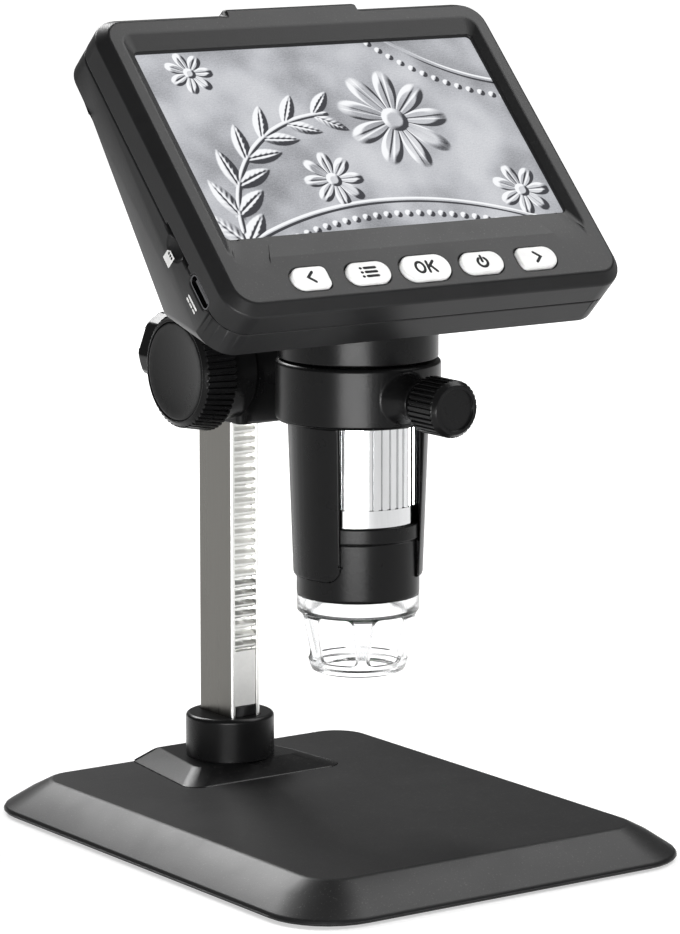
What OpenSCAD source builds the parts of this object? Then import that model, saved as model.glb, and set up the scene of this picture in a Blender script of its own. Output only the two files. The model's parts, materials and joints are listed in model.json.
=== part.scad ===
// Digital microscope: a screen head and camera barrel held in a clamp ring, on a rack-and-pinion column.
// Millimetres. +Z is up, +Y is towards the back, and the origin is the middle of the base, on the table.

/* [Base] */
// Width of the base, side to side
base_w = 111.5; // [92:0.5:140]
// Depth of the base, front to back
base_d = 141; // [117:0.5:172]
// Height of the base's top face above the table
base_h = 8.3; // [7:0.1:12]
// Width of the sloping border, seen from above
base_bevel = 10.4; // [8.6:0.1:13]
// Height of the upright lip under the slope
base_lip = 1.2; // [0.8:0.1:2]
// Corner radius of the base's outline
base_corner_r = 16; // [13:0.5:19]
// Corner radius of the base's flat top
top_corner_r = 8; // [6:0.5:10]
// Thickness of the base's top wall
base_wall = 2.2; // [1.8:0.1:2.8]
// Thickness of the cover under the base
cover_t = 1.6; // [1.4:0.1:2]
// How far the rubber feet hold the base off the table
foot_drop = 0.5; // [0.4:0.1:1]
// Radius of a rubber foot
foot_r = 6; // [4:0.5:7.5]

/* [Column] */
// Distance from the middle of the base back to the column's middle
column_y = 44.1; // [40:0.1:53]
// Width of the channel column
column_w = 8.4; // [7.6:0.1:10]
// Depth of the channel column
column_d = 14.2; // [12:0.1:17]
// Wall of the channel
column_wall = 1.1; // [0.9:0.05:1.35]
// Height of the column's upper end above the table
column_top = 165; // [150:1:198]
// Width of the plinth's front, under the column
plinth_w = 44.6; // [38:0.2:50]
// Width of the plinth's back
plinth_back_w = 37; // [34:0.2:40]
// Height of the plinth
plinth_h = 2.7; // [2.2:0.1:3.4]
// Radius of the round collar at the column's foot
collar_r = 10.8; // [10:0.1:13]
// Height of the collar
collar_h = 10.5; // [8.5:0.5:12.5]

/* [Rack and pinion] */
// Tooth module
gear_module = 0.8; // [0.7:0.05:0.9]
// Number of teeth on the pinion
pinion_teeth = 12; // [11:1:14]
// Pressure angle
pressure_angle = 25; // [22:1:27]
// How far the tooth tips lie inside the channel's mouth
rack_inset = 0.4; // [0.3:0.1:0.8]
// Height above the table where the teeth start
rack_start = 37; // [30:1:44]
// How far the pinion's axis lies above the arm's middle
pinion_rise = 0.6; // [0:0.1:1]

/* [Carriage] */
// Height of the arm's middle and of both clamp screws above the table
ring_z = 108.1; // [98:0.1:112]
// Height of the sleeve round the column
sleeve_h = 25.6; // [22:0.2:30]
// Width of the sleeve
sleeve_w = 16.6; // [14.4:0.2:20]
// Width of the arm between sleeve and ring
arm_w = 12.4; // [10:0.2:14.8]
// Thickness of the nylon liners
liner_t = 0.9; // [0.75:0.05:1.1]
// Radius of the pinion bearing's housing
housing_r = 12.4; // [10.4:0.1:12.7]
// Outer radius of the clamp ring
ring_r = 19.2; // [18.6:0.1:21]
// Height of the clamp ring
ring_h = 14.2; // [13:0.2:17]
// How far the clamp ring's middle lies above the arm's middle
ring_rise = 0.2; // [0:0.1:1]

/* [Knobs] */
// Radius of the focus knob over its ribs, at the end towards the column
focus_knob_r = 14.8; // [13.8:0.1:16.5]
// Radius of the focus knob over its ribs, at the outer end
focus_knob_front_r = 13.5; // [13:0.1:15]
// Width of the focus knob's ribbed band
focus_knob_w = 7; // [6:0.1:8.4]
// Width of the focus knob's sloping shoulder
focus_shoulder = 0.9; // [0.8:0.1:1.8]
// Number of ribs on the focus knob
focus_ribs = 56; // [46:1:67]
// Radius of the lock knob on the clamp ring
lock_knob_r = 6.6; // [5.5:0.1:7.9]
// Width of the lock knob
lock_knob_w = 10.4; // [8.7:0.1:12.4]
// Number of ribs on the lock knob
lock_ribs = 32; // [26:1:38]
// Radius of the five-sided tension knob over its corners
tension_knob_r = 10; // [8.5:0.1:12]
// Width of the tension knob
tension_knob_w = 11.5; // [9.6:0.1:13.8]

/* [Barrel] */
// Distance from the middle of the base to the barrel's axis, towards the front
barrel_y = -10; // [-12:0.1:-9]
// Radius of the barrel where the ring clamps it
barrel_r = 16.45; // [15.9:0.05:16.8]
// Radius of the nose ring at the barrel's lower end
nose_r = 14.35; // [13.9:0.05:14.8]
// Height above the table of the nose ring's lower end
nose_z = 60; // [57:0.1:61]
// Height above the table of the finger window's sill
sill_z = 77.6; // [76:0.1:79]
// Radius of the focus wheel
wheel_r = 14; // [13.7:0.1:14.3]
// Number of flutes round the focus wheel
wheel_flutes = 40; // [32:1:48]
// Angle that each barrel grip spans
grip_span = 96; // [88:0.2:110]
// How far the barrel is turned from facing straight ahead
barrel_turn = -9.3; // [-16:0.1:-4]
// Height of the clear shroud below the nose ring
shroud_h = 18.2; // [15:0.1:21]
// Radius of the neck under the head
neck_r = 18.6; // [18.2:0.1:19]

/* [Head] */
// Width of the head
head_w = 110.4; // [109.4:0.2:132]
// Length of the head along the screen's slope
head_l = 85.6; // [84.6:0.2:96]
// Tilt of the screen from level
head_tilt = 45.8; // [42:0.2:50]
// Height of the screen's middle above the table
head_z = 167.1; // [166:0.1:180]
// Place of the screen's middle, front to back
head_y = -7.9; // [-9:0.1:-6]
// Corner radius of the head's outline
head_corner_r = 7.5; // [6:0.5:9]
// Wall of the head's shells
shell_t = 2; // [1.6:0.1:2.3]
// Width of the bevel round the front
head_bevel = 2.4; // [1.8:0.1:3]
// Width of the visible screen
screen_w = 94.8; // [88:0.1:95.2]
// Height of the visible screen
screen_h = 54; // [50:0.1:54.2]
// Corner radius of the screen's window
window_r = 1.2; // [0.6:0.1:2.4]
// Distance between the middles of neighbouring keys
key_pitch = 15.8; // [15.4:0.1:16.4]
// Height of a key
key_h = 6; // [5:0.1:6.4]
// Travel of a key
key_travel = 0.6; // [0.3:0.1:0.6]

/* [Hidden] */

$fn = 64;
hull_fn = 32;             // segments of the corners inside a hull
eps = 0.01;
slide_gap = 0.1;          // between flat faces that slide
turn_gap = 0.06;          // radial gap of a shaft in its bush
fit_gap = 0.05;           // radial gap of a screw, pin or plug in its seat

// Base
cavity_w = base_w - 2 * (base_bevel + base_wall);
cavity_d = base_d - 2 * (base_bevel + base_wall);
cavity_top = base_h - base_wall;
cover_top = foot_drop + cover_t;
cover_inset = 4;          // from the base's outline to the cover's
cover_corner_r = base_corner_r - cover_inset;
foot_seat = 0.7;          // depth of a foot's recess in the cover
foot_inset = cover_inset + foot_r + 2.5;
foot_x = base_w / 2 - foot_inset;
foot_y = base_d / 2 - foot_inset;
cover_screw_r = 2.8;      // of the screws' recesses in the cover
post_step = (foot_r + cover_screw_r + 1.2) / sqrt(2);   // from a foot inwards to its screw post, in X and in Y
post_x = foot_x - post_step;
post_y = foot_y - post_step;
post_r = 3.5;
bevel_bulge = 0.55;       // how far the middle of the slope stands out
bevel_middle_z = (foot_drop + base_lip + base_h) / 2 + bevel_bulge;
ballast_side_gap = 8;     // between ballast and the screw posts' centres
ballast_w = 2 * (post_x - ballast_side_gap);
ballast_front = -cavity_d / 2 + 8;
ballast_back = column_y - 20;

// Column
column_front = column_y - column_d / 2;
column_back = column_y + column_d / 2;
slot_w = column_w - 2 * column_wall;
rack_w = slot_w - 0.2;
plinth_top = base_h + plinth_h;
plinth_front = column_y - 17.2;
plinth_slope = 7.6;       // width of the plinth's sloping sides
plinth_corner_r = 4.5;
plinth_back = base_d / 2 - base_bevel - 0.6;
collar_top = plinth_top + collar_h;
foot_top = collar_top + 2.6;
bolt_r = 2;
bolt_head_h = 2.4;
pin_y = column_y + bolt_r + 1.6;
pin_r = 0.8;

// Rack and pinion
pitch = PI * gear_module;
pitch_r = gear_module * pinion_teeth / 2;
addendum = 0.9 * gear_module;
dedendum = 1.15 * gear_module;
backlash = 0.14;
tooth_t = pitch / 2 - backlash;   // width of a tooth on the pitch line
rack_tip_y = column_front + rack_inset;
pinion_y = rack_tip_y + addendum - pitch_r;
pinion_w = slot_w - 1;
shaft_r = 2;

// Carriage
liner_gap = slide_gap;
bore_x = column_w / 2 + liner_gap + liner_t;      // half width of the sleeve's passage
bore_front = column_front - slide_gap;
bore_back = column_back + liner_gap + liner_t;
sleeve_front = pinion_y - pitch_r - 1.3;
sleeve_back = bore_back + 2.6;
housing_x = 14.2;         // outer end of the bearing housing
cap_side_x = 10.4;        // outer end of the housing's far side
bush_r = 3.5;
boss_r = 6.2;
boss_back = sleeve_back + 2.8;
insert_r = 3.5;
insert_front = boss_back - 2.6;
pad_r = 3;
pad_gap = 0.3;            // between pad and column with the knob slack
lock_boss_r = 4.8;
lock_boss_front = barrel_y - ring_r - 5.8;
lock_stem_gap = 0.25;     // between screw tip and barrel with the knob slack
ring_bore_r = barrel_r + turn_gap;
ring_top = ring_z + ring_rise + ring_h / 2;
ring_bottom = ring_top - ring_h;

// Knobs
focus_knob_x = housing_x + 0.35;                  // inner face
focus_face_x = focus_knob_x + focus_knob_w + focus_shoulder;
knob_face_r = focus_knob_front_r - 1.3;          // rim of the sloping shoulder
cap_seat = 1.6;           // depth of the cap's seat in the knob
lock_knob_y = lock_boss_front - 2.8;
tension_knob_y = boss_back + 0.5;

// Barrel
collar_z = ring_bottom - 0.2;                     // underside of the clamped part of the barrel
core_top = ring_top;
shoulder_z = ring_top + 0.45;
guide_r = 11.4;
guide_inner_r = 10.2;
guide_bottom = nose_z + 6;
pocket_r = 12.4;          // recess in the nose ring for the LED board
sensor_z = collar_z + 3.4;
sensor_pocket_r = 12.6;
sill_r = nose_r + 0.55;
sill_h = 3.8;
grip_bottom = nose_z + 4.7;
grip_bottom_r = nose_r + 0.75;
grip_top = collar_z;
grip_corner_r = 3.6;
corner_tuck = 0.02;       // angle by which a grip's round corners end inside its sides
wheel_z = sill_z + 0.1;
wheel_top = collar_z - 0.1;
wheel_band_h = 4;
wheel_wall = 1.1;
cell_z = (sill_z + collar_z) / 2 - 5;             // lower end of the lens cell
cell_h = 12;
cell_travel = 4;
lens_pin_r = 0.9;
board_t = 1.2;
led_count = 8;
led_ring_r = 9.6;
rim_h = 3.6;              // upright rim of the shroud
shroud_t = 1.3;
shroud_bottom = nose_z - shroud_h;
shroud_top_r = nose_r - 0.55;             // just under the rim
shroud_bottom_r = 11.4;
shroud_windows = 6;
shroud_bar = 2.4;         // width of the bars between the windows
shroud_foot = 2.8;        // height of the closed ring under the windows

// Head, in its own frame: x across, y up the slope, z out of the screen, with 0 at the screen's middle
head_bottom = -48;
head_top = head_bottom + head_l;
head_mid = (head_bottom + head_top) / 2;
face_n = 1.2;             // front face above the window's edge
joint_n = -7.3;           // line where bezel and rear shell meet
seam = 0.1;
side_n = -14.5;           // rear edge of the side walls
panel_n = -0.8;           // inner side of the bezel's front wall
hump_top = head_top - 10; // where the thicker part of the back starts
hump_r = 3;
hump_high = [head_w / 2 - 5.3, hump_top - 12.1, side_n - 3];    // middle of the upper rear corner
hump_low = [head_w / 2 - 8.1, head_bottom + 23.5, side_n - 12.8]; // middle of the lower rear corner
panel_x = screen_w / 2 + 5.4;
panel_low = -screen_h / 2 - 9.5;
panel_high = screen_h / 2 + 3.8;
panel_t = 3.1;
bracket_t = 1;
bracket_n = panel_n - panel_t - bracket_t;
board_n = joint_n - 2.4;  // rear side of the main board
main_board_t = 1.6;
board_left = -head_w / 2 + shell_t + 1;
battery_t = 8.6;
battery_w = 38;
key_y = -40.4;
key_x0 = -0.6;            // middle of the row of keys
key_gap = 0.2;
key_proud = 0.7;
key_flange = 0.6;
key_flange_t = 0.65;
key_board_n = -3.5;       // front of the key board
switch_h = 0.55;
post_top_x = head_w / 2 - 6.2;
post_high = head_top - shell_t - 2.2;
post_low = head_bottom + 5;
tab_w = 36.7;
usb_y = -35.3;            // middle of the USB port, on the left side wall
usb_w = 8.9;
usb_h = 3.1;
usb_depth = 7.3;
card_y = -22.2;           // middle of the card slot
card_w = 12;
notch_r = 5.3;
notch_depth = 1.5;
neck_floor = 3;
neck_wall = 2.4;
cable_w = 8;

// Slope of the head's underside: the line from the side walls' rear edge to the lower rear corner
under_run = hump_low[1] - head_bottom;
under_drop = side_n - hump_low[2];
under_len = sqrt(under_run * under_run + under_drop * under_drop);
under_angle = head_tilt - atan(under_drop / under_run) - asin(hump_r / under_len);
under_front = head_place(head_bottom, side_n);

function head_place(v, n) = [head_y + v * cos(head_tilt) - n * sin(head_tilt),
    head_z + v * sin(head_tilt) + n * cos(head_tilt)];
function underside_z(y) = under_front[1] + (y - under_front[0]) * tan(under_angle);
function involute(a) = tan(a) * 180 / PI - a;
function polar(r, a) = [r * cos(a), r * sin(a)];

// Flat shapes and common solids

module rounded_rect(w, d, r) {
    square([w - 2 * r, d], center = true);
    square([w, d - 2 * r], center = true);
    for (x = [-1, 1], y = [-1, 1])
        translate([x * (w / 2 - r), y * (d / 2 - r)]) circle(r);
}

module slab(w, d, r, z0, z1) {
    translate([0, 0, z0]) linear_extrude(z1 - z0) rounded_rect(w, d, r, $fn = hull_fn);
}

module box(x0, x1, y0, y1, z0, z1) {
    translate([x0, y0, z0]) cube([x1 - x0, y1 - y0, z1 - z0]);
}

// A prism along X from one place to another; its outline is drawn in Y and Z
module along_x(x0, x1) {
    translate([x0, 0, 0]) rotate([90, 0, 90]) linear_extrude(x1 - x0) children();
}

module at_barrel(z = 0) translate([0, barrel_y, z]) children();
module at_pinion() translate([0, pinion_y, ring_z + pinion_rise]) children();
module at_head() translate([0, head_y, head_z]) rotate([head_tilt, 0, 0]) children();

module both_sides() {
    children();
    mirror([1, 0, 0]) children();
}

module four(x, y) {
    for (sx = [-1, 1], sy = [-1, 1]) translate([sx * x, sy * y, 0]) children();
}

// Countersunk screw along +Z, its flat head at z = 0
module countersunk(r, length, head_r, head_h) {
    cylinder(r1 = head_r, r2 = r, h = head_h);
    translate([0, 0, head_h]) cylinder(r = r, h = length - head_h);
}

// Screw along -Z with a round head above z = 0 and a hexagon socket
module cap_screw(r, length, head_r, head_h) {
    translate([0, 0, -length]) cylinder(r = r, h = length);
    difference() {
        cylinder(r = head_r, h = head_h);
        translate([0, 0, head_h / 2]) cylinder(r = head_r / 2, h = head_h, $fn = 6);
    }
}

module small_screw(length) cap_screw(0.75, length, 1.15, 0.8);

module ring(r, inner, z0, z1) {
    difference() {
        translate([0, 0, z0]) cylinder(r = r, h = z1 - z0);
        translate([0, 0, z0 - 1]) cylinder(r = inner, h = z1 - z0 + 2);
    }
}

// Ribbed outline of a knob: flat-topped ribs round a circle
module ribbed(r, ribs, depth) {
    step = 360 / ribs;
    polygon([for (i = [0 : ribs - 1], k = [[r, -0.27], [r, 0.27], [r - depth, 0.36], [r - depth, 0.64]])
        polar(k[0], (i + k[1]) * step)]);
}

// Base

module base_plate() color("#26272a") difference() {
    hull() {
        slab(base_w, base_d, base_corner_r, foot_drop, foot_drop + base_lip);
        slab(base_w - base_bevel, base_d - base_bevel, base_corner_r - 2.8,
            bevel_middle_z - 0.1, bevel_middle_z);
        slab(base_w - 2 * base_bevel, base_d - 2 * base_bevel, top_corner_r, base_h - 0.1, base_h);
    }
    difference() {
        slab(cavity_w, cavity_d, top_corner_r, cover_top - eps, cavity_top);
        four(post_x, post_y) cylinder(r = post_r, h = base_h);
        translate([0, column_y, 0]) cylinder(r = 3 * bolt_r, h = base_h);
        for (p = plinth_screw_places) translate(p) cylinder(r = post_r, h = base_h);
    }
    slab(base_w - 2 * cover_inset, base_d - 2 * cover_inset, cover_corner_r, 0, cover_top);
    four(post_x, post_y) cylinder(r = 1.5 + fit_gap, h = cavity_top);
    translate([0, column_y, 0]) {
        cylinder(r = bolt_r + fit_gap, h = base_h + 1);
        cylinder(r = 2 * bolt_r, h = cavity_top);
    }
    for (p = plinth_screw_places) translate(p) {
        cylinder(r = 1.5 + fit_gap, h = base_h + 1);
        cylinder(r = 2.8, h = cavity_top);
    }
}

module base_cover() color("#303134") difference() {
    slab(base_w - 2 * cover_inset - 0.2, base_d - 2 * cover_inset - 0.2, cover_corner_r - 0.1,
        foot_drop, cover_top);
    four(post_x, post_y) translate([0, 0, foot_drop])
        countersunk(1.5 + fit_gap, 2 * cover_t, cover_screw_r, 1.3);
    four(foot_x, foot_y) cylinder(r = foot_r + fit_gap, h = foot_drop + foot_seat);
}

module steel_ballast() color("#8d9094")
    box(-ballast_w / 2, ballast_w / 2, ballast_front, ballast_back, cover_top, cavity_top - 0.2);

module rubber_feet() color("#1b1b1b")
    four(foot_x, foot_y) cylinder(r = foot_r, h = foot_drop + foot_seat);

// Countersunk screws of the cover, and the screws that hold the plinth from below
module base_screws() color("#a9adb2") {
    four(post_x, post_y) translate([0, 0, foot_drop + 0.05])
        countersunk(1.5, cavity_top - foot_drop - 0.4, cover_screw_r - 0.1, 1.25);
    for (p = plinth_screw_places) translate([p[0], p[1], cavity_top])
        mirror([0, 0, 1]) cap_screw(1.45, plinth_top - 1 - cavity_top, 2.6, 1.6);
}

// Column

plinth_screw_places = [for (x = [-10, 10], y = [plinth_front + 10, plinth_back - 7]) [x, y, 0]];

module column_hole() translate([0, column_y, 0]) square([column_w + 0.2, column_d + 0.2], center = true);

// Thin layer of the plinth: a trapezium with round corners in front
module plinth_layer(inset, corner_r, z) translate([0, 0, z]) both_sides() {
    translate([plinth_w / 2 - inset - corner_r, plinth_front + inset + corner_r, 0])
        cylinder(r = corner_r, h = 0.1, $fn = hull_fn);
    translate([plinth_back_w / 2 - inset - 0.5, plinth_back - 0.5, 0])
        cylinder(r = 0.5, h = 0.1, $fn = hull_fn);
}

module plinth() color("#2a2b2e") difference() {
    hull() {
        plinth_layer(0, plinth_corner_r, base_h);
        plinth_layer(plinth_slope, plinth_corner_r - 1, plinth_top - 0.1);
    }
    linear_extrude(plinth_top + 1) column_hole();
    for (p = plinth_screw_places) translate(p) cylinder(r = 1.5, h = plinth_top - 0.9);
}

module column_collar() color("#1d1e20") difference() {
    translate([0, column_y, 0]) rotate_extrude() {
        translate([0, plinth_top]) square([collar_r, collar_h - 1]);
        translate([0, plinth_top]) square([collar_r - 1, collar_h]);
        translate([collar_r - 1, collar_top - 1]) circle(1);
    }
    linear_extrude(collar_top + 1) column_hole();
}

module column() color("#b9bbb8") difference() {
    translate([0, column_y, base_h]) linear_extrude(column_top - base_h) difference() {
        rounded_rect(column_w, column_d, 0.7);
        translate([0, -column_wall - 1]) square([slot_w, column_d + 2], center = true);
    }
    translate([0, pin_y, plinth_top + collar_h / 2]) rotate([0, 90, 0])
        cylinder(r = pin_r + fit_gap, h = 2 * column_w, center = true);
}

module column_foot() color("#151515") difference() {
    box(-rack_w / 2, rack_w / 2, column_front + 0.4, column_back - column_wall - 0.05, base_h, foot_top);
    translate([0, column_y, 0]) cylinder(r = bolt_r, h = foot_top - 4);
    translate([0, pin_y, plinth_top + collar_h / 2]) rotate([0, 90, 0])
        cylinder(r = pin_r + fit_gap, h = 2 * column_w, center = true);
}

module column_bolt() color("#a9adb2")
    translate([0, column_y, cavity_top]) mirror([0, 0, 1])
        cap_screw(bolt_r - fit_gap, foot_top - 5 - cavity_top, 2 * bolt_r - 0.3, bolt_head_h);

module cross_pin() color("#a9adb2")
    translate([0, pin_y, plinth_top + collar_h / 2]) rotate([0, 90, 0])
        cylinder(r = pin_r, h = column_w, center = true);

module column_cap() color("#1d1e20") {
    translate([0, column_y, column_top]) linear_extrude(1.6) rounded_rect(column_w, column_d, 0.7);
    box(-rack_w / 2, rack_w / 2, column_front + 0.4, column_back - column_wall - 0.1,
        column_top - 3, column_top);
}

module gear_rack() color("#d9d9d4") {
    half_tip = tooth_t / 2 - addendum * tan(pressure_angle);
    half_root = tooth_t / 2 + dedendum * tan(pressure_angle);
    root_y = rack_tip_y + addendum + dedendum;
    low = foot_top;
    high = column_top - 3.2;
    first = ceil((rack_start - ring_z) / pitch);
    last = floor((high - half_root - ring_z) / pitch - 0.5);
    along_x(-rack_w / 2, rack_w / 2) polygon(concat(
        [[column_back - column_wall - 0.05, low], [rack_tip_y, low],
            [rack_tip_y, ring_z + first * pitch], [root_y, ring_z + first * pitch]],
        [for (i = [first : last], k = [[root_y, -half_root], [rack_tip_y, -half_tip],
                [rack_tip_y, half_tip], [root_y, half_root]])
            [k[0], ring_z + (i + 0.5) * pitch + k[1]]],
        [[root_y, high], [column_back - column_wall - 0.05, high]]));
}

// Carriage

module carriage() color("#222326") difference() {
    union() {
        translate([0, 0, ring_z - sleeve_h / 2]) linear_extrude(sleeve_h)
            translate([0, (sleeve_front + sleeve_back) / 2])
                rounded_rect(sleeve_w, sleeve_back - sleeve_front, 1.6);
        at_pinion() rotate([0, 90, 0]) {
            translate([0, 0, -housing_x]) cylinder(r = housing_r, h = housing_x - sleeve_w / 2 + 1);
            translate([0, 0, sleeve_w / 2 - 1]) cylinder(r = 7.5, h = cap_side_x - sleeve_w / 2 + 1);
        }
        along_x(-arm_w / 2, arm_w / 2) polygon([
            [sleeve_front + 2, ring_z - sleeve_h / 2], [barrel_y + ring_r - 0.2, ring_z - 9.3],
            [barrel_y + ring_r - 0.2, ring_bottom], [barrel_y, ring_bottom], [barrel_y, ring_top - 1],
            [barrel_y + ring_r, ring_top - 1], [sleeve_front - 4, ring_z + sleeve_h / 2],
            [sleeve_front + 2, ring_z + sleeve_h / 2]]);
        at_barrel() rotate_extrude() {
            translate([0, ring_bottom + 0.5]) square([ring_r, ring_h - 1.5]);
            translate([0, ring_bottom]) square([ring_r - 0.5, 1]);
            translate([0, ring_bottom]) square([ring_r - 1, ring_h]);
            translate([ring_r - 1, ring_top - 1]) circle(1);
        }
        translate([0, lock_boss_front, ring_z]) rotate([-90, 0, 0]) {
            cylinder(r = lock_boss_r, h = 8);
            translate([0, 0, 3]) cylinder(r1 = lock_boss_r, r2 = ring_h / 2 - ring_rise - 0.1, h = 4.6);
        }
        translate([0, boss_back, ring_z]) rotate([90, 0, 0]) cylinder(r = boss_r, h = 4);
    }
    // passage for the column and its liners
    box(-bore_x, bore_x, bore_front, bore_back, ring_z - sleeve_h, ring_z + sleeve_h);
    // room for the pinion, its shaft and its bushes
    at_pinion() rotate([0, 90, 0]) {
        cylinder(r = pitch_r + addendum + 0.4, h = pinion_w + 0.8, center = true);
        cylinder(r = shaft_r + 0.5, h = 2 * bore_x + 2, center = true);
        translate([0, 0, -housing_x - 1]) cylinder(r = bush_r + 0.02, h = housing_x - bore_x + 0.9);
        translate([0, 0, bore_x + 0.1]) cylinder(r = bush_r + 0.02, h = housing_x);
    }
    // friction pad and the insert for its screw
    translate([0, insert_front, ring_z]) rotate([90, 0, 0])
        cylinder(r = pad_r + turn_gap, h = insert_front - bore_back + 1);
    translate([0, boss_back + 1, ring_z]) rotate([90, 0, 0])
        cylinder(r = insert_r + 0.02, h = boss_back - insert_front + 1);
    // barrel seat and the lock screw's hole
    at_barrel(ring_bottom - 5) cylinder(r = ring_bore_r, h = ring_h + 20);
    translate([0, lock_boss_front - 1, ring_z]) rotate([-90, 0, 0])
        cylinder(r = shaft_r + turn_gap, h = ring_r);
}

module slide_liners() color("#e8e6df") {
    low = ring_z - sleeve_h / 2 + 0.6;
    high = ring_z + sleeve_h / 2 - 0.6;
    both_sides()
        box(column_w / 2 + liner_gap, bore_x, column_front + 1, column_back - 0.5, low, high);
    difference() {
        box(-bore_x + 1.2, bore_x - 1.2, column_back + liner_gap, bore_back, low, high);
        translate([0, bore_back + 1, ring_z]) rotate([90, 0, 0]) cylinder(r = pad_r + 0.3, h = 5);
    }
}

module shaft_bushes() color("#b08d4a") at_pinion() rotate([0, 90, 0]) {
    ring(bush_r, shaft_r + turn_gap, -housing_x + 0.1, -bore_x - 0.2);
    ring(bush_r, shaft_r + turn_gap, bore_x + 0.2, cap_side_x - 1.4);
}

module end_cap() color("#1d1e20") at_pinion() rotate([0, 90, 0]) {
    translate([0, 0, cap_side_x]) cylinder(r = 6.9, h = 1.2);
    translate([0, 0, cap_side_x - 1.2]) cylinder(r = bush_r - 0.1, h = 1.3);
}

module screw_insert() color("#b08d4a") translate([0, boss_back - 0.1, ring_z]) rotate([90, 0, 0])
    ring(insert_r, shaft_r + turn_gap, 0, boss_back - insert_front - 0.1);

module friction_pad() color("#e8e6df") translate([0, column_back + pad_gap, ring_z]) rotate([-90, 0, 0])
    cylinder(r = pad_r, h = 2);

// Knobs

// Outline of the tension knob: five wide flats with a narrow one at each corner
module tension_outline() {
    flats = 5;
    half_flat = 25;
    first_flat = 20;
    polygon([for (i = [0 : flats - 1], side = [-1, 1])
        polar(tension_knob_r, 180 + first_flat + i * 360 / flats + side * half_flat)]);
}

module tension_knob() color("#232427") difference() {
    translate([0, tension_knob_y, ring_z]) rotate([-90, 0, 0]) intersection() {
        union() {
            translate([0, 0, 1.2]) linear_extrude(tension_knob_w - 1.2) tension_outline();
            cylinder(r = boss_r - 1, h = 2);
        }
        union() {
            cylinder(r1 = tension_knob_r - 1.1, r2 = tension_knob_r + 0.1, h = 1.2 + eps);
            translate([0, 0, 1.2]) cylinder(r = tension_knob_r + 0.1, h = tension_knob_w - 2);
            translate([0, 0, tension_knob_w - 0.8 - eps])
                cylinder(r1 = tension_knob_r + 0.1, r2 = tension_knob_r - 0.7, h = 0.8 + eps);
        }
    }
    translate([0, tension_knob_y - 1, ring_z]) rotate([-90, 0, 0])
        cylinder(r = shaft_r + 0.01, h = tension_knob_w - 2);
}

module tension_screw() color("#a9adb2")
    translate([0, column_back + pad_gap + 2.05, ring_z]) rotate([-90, 0, 0])
        cylinder(r = shaft_r, h = tension_knob_y + tension_knob_w - 3.2 - column_back - pad_gap - 2.05);

module lock_knob() color("#232427") difference() {
    translate([0, lock_knob_y, ring_z]) rotate([90, 0, 0]) {
        translate([0, 0, 0.6]) linear_extrude(lock_knob_w - 1.8) ribbed(lock_knob_r, lock_ribs, 0.5);
        translate([0, 0, -2.4]) cylinder(r = 3.2, h = 4);
        cylinder(r1 = lock_knob_r - 1.1, r2 = lock_knob_r - 0.45, h = 0.7);
        translate([0, 0, lock_knob_w - 1.3]) cylinder(r1 = lock_knob_r - 0.1, r2 = lock_knob_r - 1, h = 1.3);
    }
    translate([0, lock_knob_y - lock_knob_w - 1, ring_z]) rotate([-90, 0, 0])
        cylinder(r = lock_knob_r - 1.8, h = 1.6);
    translate([0, lock_knob_y + 3, ring_z]) rotate([90, 0, 0]) cylinder(r = shaft_r + 0.01, h = 9);
}

module lock_screw() color("#a9adb2") {
    tip = barrel_y - barrel_r - lock_stem_gap;
    translate([0, tip, ring_z]) rotate([90, 0, 0]) cylinder(r = shaft_r, h = tip - lock_knob_y + 5.8);
}

module focus_knob() color("#26272a") at_pinion() rotate([0, -90, 0]) difference() {
    union() {
        translate([0, 0, focus_knob_x])
            linear_extrude(focus_knob_w, scale = focus_knob_front_r / focus_knob_r)
                ribbed(focus_knob_r, focus_ribs, 0.55);
        translate([0, 0, focus_knob_x + focus_knob_w - eps])
            cylinder(r1 = focus_knob_front_r - 0.3, r2 = knob_face_r, h = focus_shoulder + eps);
    }
    translate([0, 0, focus_face_x - cap_seat]) cylinder(r = knob_face_r - 0.35, h = 5);
    translate([0, 0, focus_knob_x - 1]) cylinder(r = shaft_r + 0.01, h = focus_face_x);
    translate([0, 0, focus_face_x - cap_seat - 1.2]) cylinder(r = 3.2, h = 5);
}

// Smooth disc in the knob's face, with a shallow dish
module knob_cap() color("#2b2c2f") at_pinion() rotate([0, -90, 0]) {
    r = knob_face_r - 0.4;
    dish_depth = 0.7;
    dish_r = r - 0.8;
    back = focus_face_x - cap_seat;
    rotate_extrude() polygon(concat([[0, back], [r, back], [r, focus_face_x - 0.1]],
        [for (i = [8 : -1 : 0]) [dish_r * i / 8, focus_face_x - dish_depth * (1 - pow(i / 8, 2))]]));
}

module knob_screw() color("#a9adb2") at_pinion() rotate([0, -90, 0])
    translate([0, 0, focus_face_x - cap_seat - 1.15]) {
        cylinder(r = 3, h = 1.1);
        translate([0, 0, -3]) cylinder(r = 0.9, h = 3.1);
    }

module focus_shaft() color("#a9adb2") at_pinion() rotate([0, 90, 0]) difference() {
    translate([0, 0, -focus_face_x + cap_seat + 1.2])
        cylinder(r = shaft_r, h = focus_face_x - cap_seat - 1.2 + cap_side_x - 1.5);
    translate([0, 0, -focus_face_x]) cylinder(r = 0.95, h = cap_seat + 4.4);
}

module pinion() color("#b08d4a") at_pinion() rotate([0, 90, 0]) difference() {
    translate([0, 0, -pinion_w / 2]) linear_extrude(pinion_w) pinion_outline();
    translate([0, 0, -pinion_w]) cylinder(r = shaft_r + 0.01, h = 2 * pinion_w);
}

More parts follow.
